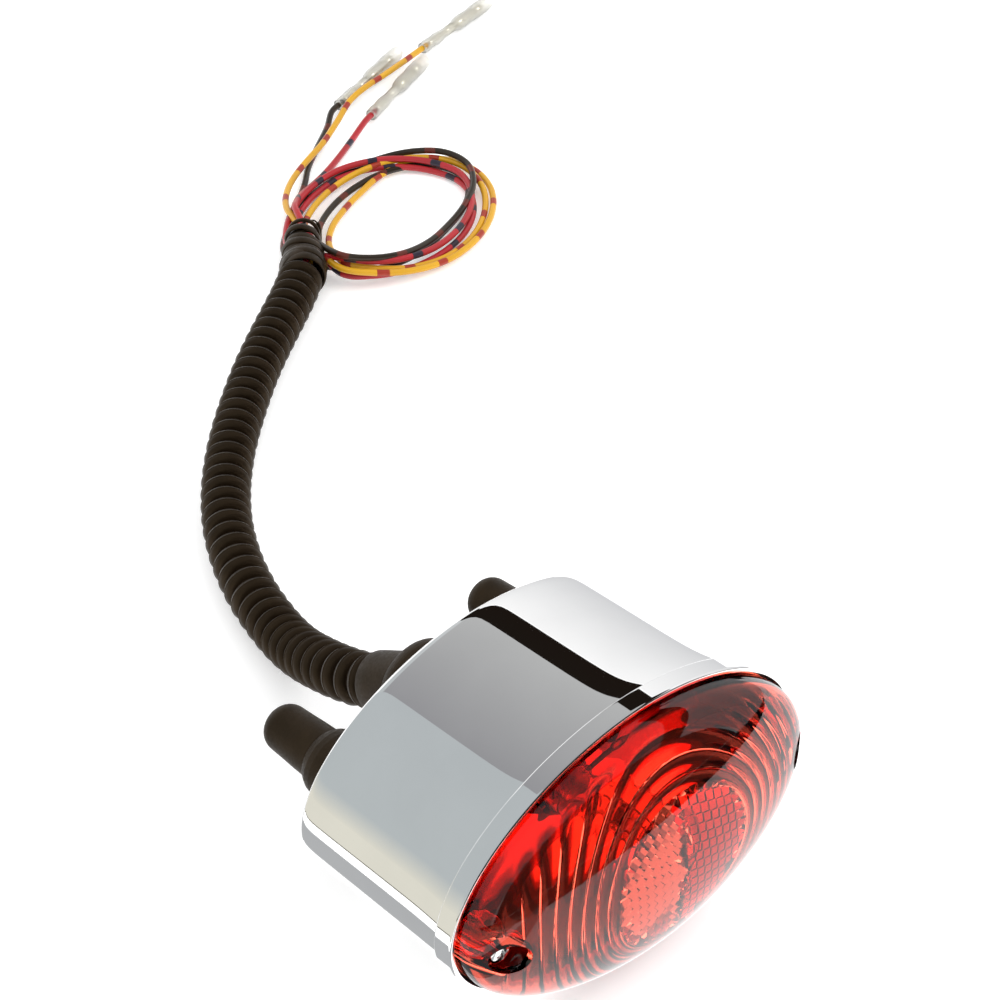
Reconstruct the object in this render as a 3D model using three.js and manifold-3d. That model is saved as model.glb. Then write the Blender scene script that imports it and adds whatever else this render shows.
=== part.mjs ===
// Oval motorcycle tail light with its wiring: housing, lens, bulb and socket, studs, loom and connectors.
// Millimetres, +Z up. The lens faces -Y and the mounting studs point to +Y. The lamp lies on its long side.
import * as THREE from "three";
import { mergeVertices } from "three/addons/utils/BufferGeometryUtils.js";
import Module from "manifold-3d";

const wasm = await Module();
wasm.setup();

// ---- Driving dimensions -------------------------------------------------------------------------

const GAP = 0.3; // left between two touching pieces

// The oval, as half its length and half its height at the lip.
const LIP_HALF_LENGTH = 66.4;
const LIP_HALF_HEIGHT = 42.4;
const OVAL_POWER = 1.92; // 2 would be an ellipse
const OVAL_SEGMENTS = 58; // half a turn is a whole number of facets, so one lies flat under the oval
const RIM_BAND = 16; // inside this band a contour keeps its distance to the lip

// Places along the lamp's axis, measured from the lip's front face.
const LIP_DEPTH = 6.5;
const LIP_STEP = 1.1;
const SEAT_DEPTH = 4.6;
const BODY_DEPTH = 61.5;
const BODY_DRAFT = 0.9;
const BACK_CHAMFER = 1.2;
const WALL = 2.7;
const BACK_WALL = 3.2;
const PAD_RADIUS = 4;
const PAD_OFFSET = 28; // above and below the lamp's axis
const LENS_FRONT = -23;
const STUD_CAP_END = 100;

const LENS_CLEARANCE = 1.0;
const LENS_WALL = 2.6;
const LENS_BACK = 2.6;
const LENS_SIDE = -2; // the dome starts here
const LENS_SCREW_X = 56;
const WELL_RADIUS = 4.9;
const WELL_FLOOR = -6;
const SCREW_HOLE_RADIUS = 2.3;
const POST_RADIUS = 4.2;
const POST_FRONT = LENS_BACK + 0.4;

const STUD_X = 39.7; // the studs are 79.4 mm (3 1/8 in) apart
const STUD_RADIUS = 3.9;
const STUD_HOLE_RADIUS = 4.3;
const STUD_START = 50.5;
const STUD_END = 95.5;
const COLLAR_DEPTH = 5.2;

const BOOT_RADIUS = 15.5;
const BOOT_LENGTH = 27.2;
const BOOT_BORE_RADIUS = 7;

const REFLECTOR_CENTRE = 30;
const REFLECTOR_RIM = 23;
const REFLECTOR_THICKNESS = 1.2;
const PLATE_SCREW_X = 24;

const SOCKET_RADIUS = 9.3;
const SOCKET_BORE_RADIUS = 7.9;
const SOCKET_FRONT = 24.5;
const SOCKET_BACK = 54;
const SOCKET_HOLE_RADIUS = 3.6;
const PIN_Y = 31;
const PIN_OFFSET = 1.5; // the two bayonet pins sit this far before and behind PIN_Y
const PIN_RADIUS = 1.0;
const BULB_TIP = -9;
const BULB_RADIUS = 12.5;
const BASE_FRONT = 21.5;
const BASE_BACK = 38;
const BASE_RADIUS = 7.5;
const CARRIER_FRONT = 40.2;
const CARRIER_BACK = 43;
const CONTACT_Z = 3.2; // the two contacts sit this far above and below the bulb's axis
const BULB_PUSH = 2.2;
const BULB_TWIST = THREE.MathUtils.degToRad(-20); // anticlockwise, seen from the front

const LOOM_RADIUS = 8.4;
const WIRE_RADIUS = 1.25;
const COIL_SECTION_RADIUS = 4;
const TIE_RADIUS = 8;

// The row's origin is under the middle of the lamp, cords left out: the lip's lowest facet lies on z = 0.
const AXIS_Y = -(LENS_FRONT + STUD_CAP_END) / 2;
const AXIS_Z = LIP_HALF_HEIGHT * Math.cos(Math.PI / OVAL_SEGMENTS) ** (2 / OVAL_POWER);

// ---- Materials ----------------------------------------------------------------------------------

function paint(color, roughness, metalness) {
  return new THREE.MeshStandardMaterial({ color, roughness, metalness });
}

const CHROME = paint("#d9dadb", 0.06, 1);
const RED_LENS = new THREE.MeshStandardMaterial({
  color: "#c80a0c",
  roughness: 0.05,
  metalness: 0,
  transparent: true,
  opacity: 0.8,
});
const CLEAR = new THREE.MeshStandardMaterial({
  color: "#e6e6e2",
  roughness: 0.15,
  metalness: 0,
  transparent: true,
  opacity: 0.5,
});
const STEEL = paint("#b9bbbd", 0.35, 1);
const BRIGHT_PLATE = paint("#e6e6e2", 0.3, 0.6);
const BRASS = paint("#b99a4a", 0.35, 1);
const SOLDER = paint("#9a9ca0", 0.5, 1);
const FIBRE = paint("#5a3a24", 0.8, 0);
const RUBBER = paint("#1d1814", 0.75, 0);
const TIE_BLACK = paint("#17130f", 0.5, 0);
const YELLOW = paint("#d9a70f", 0.45, 0);
const RED = paint("#b8232c", 0.45, 0);
const BROWN = paint("#35261c", 0.45, 0);

// ---- Solids -------------------------------------------------------------------------------------

function toSolid(geometry) {
  const bare = geometry.clone();
  bare.deleteAttribute("normal");
  bare.deleteAttribute("uv");
  const merged = mergeVertices(bare, 1e-4);
  const mesh = new wasm.Mesh({
    numProp: 3,
    vertProperties: new Float32Array(merged.attributes.position.array),
    triVerts: new Uint32Array(merged.index.array),
  });
  return new wasm.Manifold(mesh);
}

function toGeometry(solid) {
  const mesh = solid.getMesh();
  const geometry = new THREE.BufferGeometry();
  geometry.setAttribute("position", new THREE.BufferAttribute(mesh.vertProperties, 3));
  geometry.setIndex(new THREE.BufferAttribute(mesh.triVerts, 1));
  geometry.computeVertexNormals();
  return geometry;
}

function join(first, ...others) {
  return others.reduce((sum, other) => sum.add(other), first);
}

function cut(first, ...others) {
  return others.reduce((rest, other) => rest.subtract(other), first);
}

// A solid turned about the lamp's axis. The profile holds [radius, y] pairs and runs anticlockwise.
function turned(profile, segments = 24) {
  const points = profile.map(([radius, y]) => new THREE.Vector2(radius, y));
  return new THREE.LatheGeometry(points, segments, Math.PI / segments);
}

// Squeezes a turned solid into the oval. toHalfHeight gives the half height that goes with a half length.
function oval(profile, toHalfHeight) {
  const geometry = turned(profile, OVAL_SEGMENTS);
  const position = geometry.attributes.position;
  const bend = (value) => Math.sign(value) * Math.abs(value) ** (2 / OVAL_POWER);
  for (let i = 0; i < position.count; i += 1) {
    const x = position.getX(i);
    const z = position.getZ(i);
    const radius = Math.hypot(x, z);
    if (radius > 0) {
      position.setX(i, radius * bend(x / radius));
      position.setZ(i, toHalfHeight(radius) * bend(z / radius));
    }
  }
  return geometry;
}

// Contours of the housing keep their distance to the lip, and shrink to the axis inside the rim band.
function housingHalfHeight(halfLength) {
  const core = LIP_HALF_LENGTH - RIM_BAND;
  const narrower = LIP_HALF_LENGTH - LIP_HALF_HEIGHT;
  return halfLength > core ? halfLength - narrower : (halfLength * (core - narrower)) / core;
}

function rod(radius, front, back, x = 0, z = 0, segments = 20) {
  return new THREE.CylinderGeometry(radius, radius, back - front, segments).translate(x, (front + back) / 2, z);
}

function block(width, depth, height, x, y, z) {
  return new THREE.BoxGeometry(width, depth, height).translate(x, y, z);
}

// Points of a quarter ellipse from angle 0 to 90 degrees, about a centre given as [radius, y].
function quarter([centreRadius, centreY], radial, along, steps) {
  return Array.from({ length: steps + 1 }, (_, i) => {
    const angle = (i / steps) * (Math.PI / 2);
    return [centreRadius + radial * Math.cos(angle), centreY + along * Math.sin(angle)];
  });
}

function tube(points, radius, sides, steps) {
  const curve = new THREE.CatmullRomCurve3(points.map((p) => new THREE.Vector3(...p)));
  const section = new THREE.Shape();
  for (let i = 0; i <= sides; i += 1) {
    const angle = (i / sides) * 2 * Math.PI;
    const place = [radius * Math.cos(angle), radius * Math.sin(angle)];
    if (i === 0) section.moveTo(...place);
    else if (i < sides) section.lineTo(...place);
    else section.closePath();
  }
  return new THREE.ExtrudeGeometry(section, { steps, bevelEnabled: false, extrudePath: curve });
}

// ---- Assembly -----------------------------------------------------------------------------------

const group = new THREE.Group();
const lamp = new THREE.Group(); // pieces placed by the lamp's axis
lamp.position.set(0, AXIS_Y, AXIS_Z);
group.add(lamp);

function addPiece(parent, name, shape, material) {
  const geometry = shape.isBufferGeometry ? shape : toGeometry(shape);
  const mesh = new THREE.Mesh(geometry, material);
  mesh.name = name;
  parent.add(mesh);
  return mesh;
}

const SIDES = [
  { side: "left", sign: -1 },
  { side: "right", sign: 1 },
];

// ---- Housing ------------------------------------------------------------------------------------

function makeHousing() {
  const bodyHalf = LIP_HALF_LENGTH - LIP_STEP;
  const backHalf = bodyHalf - BODY_DRAFT;
  const innerFront = bodyHalf - WALL;
  const innerBack = backHalf - WALL;
  const seatHalf = LIP_HALF_LENGTH - 1.4;
  const innerFloor = BODY_DEPTH - BACK_WALL;
  const shell = toSolid(
    oval(
      [
        [0, innerFloor],
        [innerBack, innerFloor],
        [innerFront, SEAT_DEPTH],
        [seatHalf, SEAT_DEPTH],
        [seatHalf, 0],
        [LIP_HALF_LENGTH - 0.6, 0],
        [LIP_HALF_LENGTH, 0.6],
        [LIP_HALF_LENGTH, LIP_DEPTH],
        [bodyHalf, LIP_DEPTH + 0.3],
        [backHalf, BODY_DEPTH - BACK_CHAMFER],
        [backHalf - BACK_CHAMFER, BODY_DEPTH],
        [0, BODY_DEPTH],
      ],
      housingHalfHeight,
    ),
  );
  const intoWall = innerFloor + 1;
  const posts = SIDES.flatMap(({ sign }) => [
    toSolid(rod(POST_RADIUS, POST_FRONT, intoWall, sign * LENS_SCREW_X)),
    toSolid(block(6, intoWall - SEAT_DEPTH - 1, 4, sign * (LENS_SCREW_X + 4.2), (intoWall + SEAT_DEPTH + 1) / 2, 0)),
    toSolid(rod(4, REFLECTOR_CENTRE + REFLECTOR_THICKNESS + GAP, intoWall, sign * PLATE_SCREW_X)),
  ]);
  const holes = SIDES.flatMap(({ sign }) => [
    toSolid(rod(SCREW_HOLE_RADIUS, POST_FRONT - 1, POST_FRONT + 17, sign * LENS_SCREW_X)),
    toSolid(rod(1.9, REFLECTOR_CENTRE, REFLECTOR_CENTRE + 14, sign * PLATE_SCREW_X)),
    toSolid(rod(STUD_HOLE_RADIUS, innerFloor - 1, BODY_DEPTH + 1, sign * STUD_X)),
  ]);
  const bootHole = toSolid(rod(BOOT_BORE_RADIUS + 1, innerFloor - 1, BODY_DEPTH + 1, 0, 0, 28));
  // Two low pads on the back, above and below the boot, that a bracket lies on.
  const pads = [-PAD_OFFSET, PAD_OFFSET].map((z) => {
    return toSolid(rod(PAD_RADIUS, BODY_DEPTH - 1, BODY_DEPTH + GAP, 0, z, 15));
  });
  return cut(join(shell, ...posts, ...pads), ...holes, bootHole);
}

addPiece(lamp, "housing", makeHousing(), CHROME);

// ---- Lens, gasket and lens screws ---------------------------------------------------------------

const LENS_HALF_LENGTH = LIP_HALF_LENGTH - 1.4 - LENS_CLEARANCE;
const LENS_HALF_HEIGHT = LIP_HALF_HEIGHT - 1.4 - LENS_CLEARANCE;

// A domed oval block from the tip of the dome to its flat back, drawn in by inset on every side.
function domedBlock(inset, back, steps) {
  const halfLength = LENS_HALF_LENGTH - inset;
  const halfHeight = LENS_HALF_HEIGHT - inset;
  const dome = quarter([0, LENS_SIDE], halfLength, LENS_FRONT + inset - LENS_SIDE, steps).reverse();
  dome[0][0] = 0;
  return toSolid(
    oval([...dome, [halfLength, back], [0, back]], (radius) => (radius * halfHeight) / halfLength),
  );
}

function makeLens() {
  const outer = domedBlock(0, LENS_BACK, 10);
  const inner = domedBlock(LENS_WALL, LENS_BACK + 1, 9);
  const bosses = SIDES.map(({ sign }) =>
    toSolid(rod(WELL_RADIUS + 1.8, LENS_FRONT, LENS_BACK, sign * LENS_SCREW_X, 0, 24)).intersect(outer),
  );
  const wells = SIDES.flatMap(({ sign }) => [
    toSolid(rod(WELL_RADIUS, LENS_FRONT - 1, WELL_FLOOR, sign * LENS_SCREW_X, 0, 24)),
    toSolid(rod(SCREW_HOLE_RADIUS, WELL_FLOOR - 1, LENS_BACK + 1, sign * LENS_SCREW_X)),
  ]);
  return cut(join(cut(outer, inner), ...bosses), ...wells);
}

function makeGasket() {
  const outerHalf = LIP_HALF_LENGTH - 2;
  const innerHalf = LIP_HALF_LENGTH - 3.7;
  const front = LENS_BACK + GAP;
  const back = SEAT_DEPTH - GAP;
  const ring = [
    [innerHalf, front],
    [outerHalf, front],
    [outerHalf, back],
    [innerHalf, back],
    [innerHalf, front],
  ];
  return oval(ring, housingHalfHeight);
}

// A cross-recess pan-head screw that points to +Y, with its head's underside at seat.
function makeScrew(headRadius, headHeight, shankRadius, seat, end, x) {
  const shank = rod(shankRadius, seat - 0.5, end, x, 0, 16);
  const head = turned(
    [
      [0, seat - headHeight],
      [headRadius * 0.7, seat - headHeight],
      [headRadius, seat - headHeight * 0.55],
      [headRadius, seat],
      [0, seat],
    ],
    20,
  ).translate(x, 0, 0);
  const recessDepth = headHeight * 0.5;
  const recessY = seat - headHeight + recessDepth / 2 - 0.1;
  const slots = [
    block(headRadius * 1.1, recessDepth + 0.2, headRadius * 0.26, x, recessY, 0),
    block(headRadius * 0.26, recessDepth + 0.2, headRadius * 1.1, x, recessY, 0),
  ];
  return cut(join(toSolid(head), toSolid(shank)), ...slots.map(toSolid));
}

addPiece(lamp, "lens", makeLens(), RED_LENS);
addPiece(lamp, "lens_gasket", makeGasket(), RUBBER);
for (const { side, sign } of SIDES) {
  const screw = makeScrew(3.6, 2.5, 2, WELL_FLOOR - GAP, POST_FRONT + 15, sign * LENS_SCREW_X);
  addPiece(lamp, `lens_screw_${side}`, screw, CHROME);
}

// ---- Reflector and socket -----------------------------------------------------------------------

function makeReflector() {
  const rimHalf = 57;
  const rimBack = REFLECTOR_RIM + REFLECTOR_THICKNESS;
  const centreBack = REFLECTOR_CENTRE + REFLECTOR_THICKNESS;
  const dish = toSolid(
    oval(
      [
        [0, REFLECTOR_CENTRE],
        [30, REFLECTOR_CENTRE],
        [rimHalf - 3, REFLECTOR_RIM],
        [rimHalf, REFLECTOR_RIM],
        [rimHalf, rimBack],
        [rimHalf - 3, rimBack],
        [30, centreBack],
        [0, centreBack],
      ],
      housingHalfHeight,
    ),
  );
  const front = REFLECTOR_RIM - 1;
  const back = centreBack + 1;
  const holes = SIDES.flatMap(({ sign }) => [
    toSolid(rod(POST_RADIUS + 1.2, front, back, sign * LENS_SCREW_X)),
    toSolid(rod(1.9, front, back, sign * PLATE_SCREW_X)),
  ]);
  return cut(dish, toSolid(rod(SOCKET_RADIUS + GAP, front, back, 0, 0, 28)), ...holes);
}

// The windows let the bayonet pins turn and travel; each runs out to the mouth at its far end.
function makeSocket() {
  const flangeBack = REFLECTOR_CENTRE - GAP;
  const shell = toSolid(
    turned(
      [
        [SOCKET_BORE_RADIUS, SOCKET_FRONT],
        [SOCKET_RADIUS, SOCKET_FRONT],
        [SOCKET_RADIUS, flangeBack - 1.2],
        [SOCKET_RADIUS + 3, flangeBack - 1.2],
        [SOCKET_RADIUS + 3, flangeBack],
        [SOCKET_RADIUS, flangeBack],
        [SOCKET_RADIUS, SOCKET_BACK],
        [SOCKET_HOLE_RADIUS, SOCKET_BACK],
        [SOCKET_HOLE_RADIUS, SOCKET_BACK - 1.3],
        [SOCKET_BORE_RADIUS, SOCKET_BACK - 1.3],
        [SOCKET_BORE_RADIUS, SOCKET_FRONT],
      ],
      32,
    ),
  );
  const windows = SIDES.flatMap(({ sign }) => {
    const pinY = PIN_Y + sign * PIN_OFFSET;
    const front = pinY - PIN_RADIUS - GAP;
    const back = pinY + PIN_RADIUS + GAP + BULB_PUSH;
    const width = 2 * (PIN_RADIUS + GAP);
    const window = (angle, start, end) =>
      toSolid(block(4, end - start, width, sign * (SOCKET_RADIUS - 0.4), (start + end) / 2, 0).rotateY(angle));
    const turns = [0, 1 / 3, 2 / 3, 1].map((part) => window(part * BULB_TWIST, front, back));
    return [...turns, window(BULB_TWIST, SOCKET_FRONT - 1, back)];
  });
  return cut(shell, ...windows);
}

addPiece(lamp, "reflector", makeReflector(), BRIGHT_PLATE);
addPiece(lamp, "bulb_socket", makeSocket(), STEEL);
for (const { side, sign } of SIDES) {
  const screw = makeScrew(3.2, 2, 1.6, REFLECTOR_CENTRE - GAP, REFLECTOR_CENTRE + 12, sign * PLATE_SCREW_X);
  addPiece(lamp, `plate_screw_${side}`, screw, STEEL);
}

// ---- Contacts behind the bulb -------------------------------------------------------------------

const CONTACTS = [
  { circuit: "tail", z: CONTACT_Z },
  { circuit: "stop", z: -CONTACT_Z },
];

function makeSpring() {
  const radius = 5.6;
  const wire = 0.5;
  const front = CARRIER_BACK + GAP + wire;
  const back = SOCKET_BACK - 1.3 - GAP - wire;
  const turns = 4;
  const points = Array.from({ length: turns * 12 + 1 }, (_, i) => {
    const angle = (i / 12) * 2 * Math.PI;
    return [radius * Math.cos(angle), front + ((back - front) * i) / (turns * 12), radius * Math.sin(angle)];
  });
  return tube(points, wire, 6, turns * 14);
}

addPiece(lamp, "contact_carrier", turned([
  [0, CARRIER_FRONT],
  [SOCKET_BORE_RADIUS - 0.5, CARRIER_FRONT],
  [SOCKET_BORE_RADIUS - 0.5, CARRIER_BACK],
  [0, CARRIER_BACK],
]), FIBRE);
addPiece(lamp, "contact_spring", makeSpring(), STEEL);
for (const { circuit, z } of CONTACTS) {
  const front = BASE_BACK + 0.6 + GAP;
  addPiece(lamp, `contact_${circuit}`, rod(1.6, front, CARRIER_FRONT - GAP, 0, z, 16), BRASS);
}

// ---- Bulb ---------------------------------------------------------------------------------------

const NECK_BACK = BASE_FRONT - GAP;

function makeBulbGlass() {
  const wall = 0.8;
  const centre = BULB_TIP + BULB_RADIUS;
  const neckRadius = 7;
  // Half a circle round the globe, from the tip to where it meets the neck.
  const globe = (radius, steps) =>
    Array.from({ length: steps + 1 }, (_, i) => {
      const angle = (i / steps) * THREE.MathUtils.degToRad(140);
      return [radius * Math.sin(angle), centre - radius * Math.cos(angle)];
    });
  return turned(
    [...globe(BULB_RADIUS, 10), [neckRadius, NECK_BACK], [neckRadius - wall, NECK_BACK],
      ...globe(BULB_RADIUS - wall, 9).reverse()],
    24,
  );
}

function makeBulbBase() {
  const shell = toSolid(turned([
    [0, BASE_FRONT],
    [BASE_RADIUS, BASE_FRONT],
    [BASE_RADIUS, BASE_BACK - 1.5],
    [BASE_RADIUS - 1.5, BASE_BACK],
    [0, BASE_BACK],
  ], 28));
  const pins = SIDES.map(({ sign }) =>
    toSolid(
      new THREE.CylinderGeometry(PIN_RADIUS, PIN_RADIUS, 3, 12)
        .rotateZ(Math.PI / 2)
        .translate(sign * (BASE_RADIUS - 0.3), PIN_Y + sign * PIN_OFFSET, 0),
    ),
  );
  return join(shell, ...pins);
}

// One filament: a fine coil held between two bent support wires, drawn as one bar with two legs.
function makeFilament(y, z) {
  const coil = new THREE.CylinderGeometry(0.45, 0.45, 9, 8).rotateZ(Math.PI / 2).translate(0, y, z);
  const legs = [-4.2, 4.2].map((x) => toSolid(rod(0.35, y - 0.2, 8.8, x, z, 8)));
  return join(toSolid(coil), ...legs);
}

addPiece(lamp, "bulb_glass", makeBulbGlass(), CLEAR);
addPiece(lamp, "bulb_base", makeBulbBase(), BRASS);
addPiece(lamp, "bulb_stem", turned([
  [0, 9.1],
  [5.2, 9.1],
  [5.2, 10.5],
  [3, 13],
  [3.4, BASE_FRONT - GAP],
  [0, BASE_FRONT - GAP],
], 16), CLEAR);
addPiece(lamp, "filament_tail", makeFilament(3, -2.4), STEEL);
addPiece(lamp, "filament_stop", makeFilament(0, 2.4), STEEL);
for (const { circuit, z } of CONTACTS) {
  addPiece(lamp, `bulb_contact_${circuit}`, rod(1.7, BASE_BACK + GAP, BASE_BACK + 0.6, 0, z, 16), SOLDER);
}

// ---- Studs, nuts, collars and caps --------------------------------------------------------------

function makeNut(x) {
  const hexagon = rod(7.4, BODY_DEPTH - BACK_WALL - GAP - 6.5, BODY_DEPTH - BACK_WALL - GAP, x, 0, 6);
  return cut(toSolid(hexagon), toSolid(rod(STUD_HOLE_RADIUS, STUD_START, BODY_DEPTH, x)));
}

const COLLAR_FRONT = BODY_DEPTH + GAP;
const COLLAR_BACK = COLLAR_FRONT + COLLAR_DEPTH;
const COLLAR_PROFILE = [
  [STUD_HOLE_RADIUS, COLLAR_FRONT],
  [10.2, COLLAR_FRONT],
  [10.4, COLLAR_FRONT + 0.9],
  [8.7, COLLAR_BACK - 1.2],
  [8.1, COLLAR_BACK],
  [STUD_HOLE_RADIUS, COLLAR_BACK],
  [STUD_HOLE_RADIUS, COLLAR_FRONT],
];

const CAP_ROUNDING = 5.4;
const CAP_TIP_RADIUS = 7.3;
const CAP_FOOT_RADIUS = 8;
const CAP_PROFILE = [
  [STUD_HOLE_RADIUS, COLLAR_BACK + GAP],
  [CAP_FOOT_RADIUS, COLLAR_BACK + GAP],
  ...quarter([CAP_TIP_RADIUS - CAP_ROUNDING, STUD_CAP_END - CAP_ROUNDING], CAP_ROUNDING, CAP_ROUNDING, 6),
  [0, STUD_CAP_END],
  [0, STUD_END + 1.5],
  [STUD_HOLE_RADIUS, STUD_END + 1.5],
  [STUD_HOLE_RADIUS, COLLAR_BACK + GAP],
];

for (const { side, sign } of SIDES) {
  const x = sign * STUD_X;
  addPiece(lamp, `mounting_stud_${side}`, rod(STUD_RADIUS, STUD_START, STUD_END, x), STEEL);
  addPiece(lamp, `stud_nut_${side}`, makeNut(x), STEEL);
  addPiece(lamp, `stud_collar_${side}`, turned(COLLAR_PROFILE).translate(x, 0, 0), RUBBER);
  addPiece(lamp, `stud_cap_${side}`, turned(CAP_PROFILE).translate(x, 0, 0), RUBBER);
}

// ---- Boot and the wires inside the lamp ---------------------------------------------------------

const BOOT_FRONT = BODY_DEPTH + GAP;
const BOOT_BACK = BOOT_FRONT + BOOT_LENGTH;

addPiece(lamp, "loom_boot", turned([
  [BOOT_BORE_RADIUS, BOOT_FRONT],
  [BOOT_RADIUS, BOOT_FRONT],
  [BOOT_RADIUS, BOOT_FRONT + 3],
  ...quarter([BOOT_RADIUS - 8, BOOT_BACK - 8.5], 6.5, 7, 6),
  [BOOT_BORE_RADIUS, BOOT_BACK],
  [BOOT_BORE_RADIUS, BOOT_FRONT],
], 28), RUBBER);

const WIRES = [
  { colour: "yellow", material: YELLOW, inner: [-1.5, 1] },
  { colour: "red", material: RED, inner: [1.5, 1] },
  { colour: "brown", material: BROWN, inner: [0, -1.6] },
];

for (const { colour, material, inner } of WIRES) {
  const [x, z] = inner;
  addPiece(lamp, `inner_wire_${colour}`, rod(WIRE_RADIUS - 0.05, SOCKET_BACK + GAP, BOOT_BACK - 2, x, z, 8), material);
}

// ---- Loom, coil and tie, in the row's own frame -------------------------------------------------

const LOOM_ROUTE = [
  [0, AXIS_Y + BOOT_BACK + 1.2, AXIS_Z],
  [-0.1, 56, 41.9],
  [-1, 61.5, 38.6],
  [-1.8, 67.5, 33.6],
  [-1.4, 77, 27.4],
  [1, 90, 20.4],
  [4.4, 103, 14.6],
  [8, 115, 10.8],
  [12, 128, 8.9],
  [16.4, 141, LOOM_RADIUS],
  [23.6, 157, LOOM_RADIUS],
  [33, 172.6, LOOM_RADIUS],
  [44.2, 186.8, LOOM_RADIUS],
  [56, 199.2, LOOM_RADIUS],
  [68.6, 210.6, LOOM_RADIUS],
  [81.6, 221.2, LOOM_RADIUS],
  [95, 231.4, LOOM_RADIUS],
  [110, 241.6, LOOM_RADIUS],
  [126, 251.8, LOOM_RADIUS],
  [137, 259, LOOM_RADIUS],
  [146, 265.6, LOOM_RADIUS],
];

addPiece(group, "loom", tube(LOOM_ROUTE, LOOM_RADIUS, 10, 44), RUBBER);

// The coil is an oval ring that lies flat, lifted at the end that the tie holds.
const COIL = { x: 202.7, y: 277.7, halfLength: 42.5, halfWidth: 27.6, turn: THREE.MathUtils.degToRad(18.6) };
const COIL_LIFT = Math.asin((TIE_RADIUS - COIL_SECTION_RADIUS) / (2 * COIL.halfLength));

function makeCoil(sectionRadius) {
  const ring = new THREE.TorusGeometry(1, 0.1, 8, 40);
  const position = ring.attributes.position;
  for (let i = 0; i < position.count; i += 1) {
    const around = Math.atan2(position.getY(i), position.getX(i));
    const out = ((Math.hypot(position.getX(i), position.getY(i)) - 1) / 0.1) * sectionRadius;
    const up = (position.getZ(i) / 0.1) * sectionRadius;
    position.setXYZ(
      i,
      (COIL.halfLength + out) * Math.cos(around),
      (COIL.halfWidth + out) * Math.sin(around),
      up,
    );
  }
  const middleHeight = (TIE_RADIUS + COIL_SECTION_RADIUS) / 2 + 0.1;
  return ring.rotateY(COIL_LIFT).rotateZ(COIL.turn).translate(COIL.x, COIL.y, middleHeight);
}

const TIE_START = [149.6, 268.6];
const TIE_END = [173.8, 296.4];

function makeTie() {
  const [x0, y0] = TIE_START;
  const [x1, y1] = TIE_END;
  const length = Math.hypot(x1 - x0, y1 - y0);
  const wrap = new THREE.CylinderGeometry(TIE_RADIUS, TIE_RADIUS, length, 24)
    .rotateZ(Math.atan2(x0 - x1, y1 - y0))
    .translate((x0 + x1) / 2, (y0 + y1) / 2, TIE_RADIUS + 0.1);
  return cut(toSolid(wrap), toSolid(makeCoil(COIL_SECTION_RADIUS + GAP)));
}

addPiece(group, "wire_coil", makeCoil(COIL_SECTION_RADIUS), BROWN);
addPiece(group, "twist_tie", makeTie(), TIE_BLACK);

// ---- Free wire ends and their connectors --------------------------------------------------------

const SLEEVE_RADIUS = 3.1;
const SLEEVE_LENGTH = 49;
const SLEEVE_PROFILE = [
  [1.55, 0],
  [2.3, 0],
  [2.4, 11],
  [1.95, 14],
  [1.95, 22],
  [2.9, 24.5],
  [2.8, 35],
  [SLEEVE_RADIUS, 37],
  [2.9, SLEEVE_LENGTH],
  [2.4, SLEEVE_LENGTH],
  [2.4, 25],
  [1.55, 23],
  [1.55, 0],
];
const BULLET_PROFILE = [
  [0, 5],
  [1.25, 5],
  [1.25, 25.5],
  [2.05, 27.5],
  [2.05, 42],
  [1.4, 42],
  [1.4, 30],
  [0, 30],
];

const ENDS = [
  {
    colour: "yellow",
    material: YELLOW,
    sleeveAt: [299.4, 365.2],
    sleeveTo: [347.4, 375.1],
    route: [[171.6, 300.4, 7.2], [175.8, 308.8, 6.2], [183.4, 317.2, 5], [193.6, 324.6, 4.3], [205.4, 330.4, 4.2],
      [217.6, 335.6, 4.2], [232.6, 343.6, 4.6], [246.6, 351.2, 5.6], [258.4, 354.6, 5.9], [271, 357.4, 5.2],
      [286, 361.8, 3.8]],
  },
  {
    colour: "red",
    material: RED,
    sleeveAt: [247.6, 339.8],
    sleeveTo: [296.4, 358.4],
    route: [[172.8, 299.3, 10.2], [178.8, 306, 8], [186.4, 312, 5], [195.2, 316.6, 2.8], [205.4, 321, 1.6],
      [218.4, 326.8, 1.4], [231.8, 333.2, 1.8]],
  },
  {
    colour: "brown",
    material: BROWN,
    sleeveAt: [243.4, 354.8],
    sleeveTo: [288.9, 369.6],
    route: [[172.2, 299.9, 4.4], [178.4, 307.2, 2.2], [187, 314.4, 1.3], [196.4, 321.8, 1.3], [205, 329.6, 1.3],
      [216, 337.4, 1.4], [230.2, 346.8, 1.9]],
  },
];

for (const { colour, material, sleeveAt, sleeveTo, route } of ENDS) {
  const along = new THREE.Vector2(sleeveTo[0] - sleeveAt[0], sleeveTo[1] - sleeveAt[1]).normalize();
  const turn = Math.atan2(-along.x, along.y);
  const place = (geometry) => geometry.rotateZ(turn).translate(sleeveAt[0], sleeveAt[1], SLEEVE_RADIUS + 0.1);
  const wireEnd = [sleeveAt[0] - along.x * GAP, sleeveAt[1] - along.y * GAP, SLEEVE_RADIUS];
  const beforeEnd = [sleeveAt[0] - along.x * 5, sleeveAt[1] - along.y * 5, SLEEVE_RADIUS - 0.1];
  addPiece(group, `wire_${colour}`, tube([...route, beforeEnd, wireEnd], WIRE_RADIUS, 8, 26), material);
  addPiece(group, `sleeve_${colour}`, place(turned(SLEEVE_PROFILE, 14)), CLEAR);
  addPiece(group, `bullet_${colour}`, place(turned(BULLET_PROFILE, 12)), BRASS);
}

export default group;
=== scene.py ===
"""Looks for an oval motorcycle tail light with its loom, three tied wires and their connectors."""

import math

import bmesh
import bpy
import numpy as np
from mathutils import Matrix, Vector
from mathutils.geometry import delaunay_2d_cdt


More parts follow.
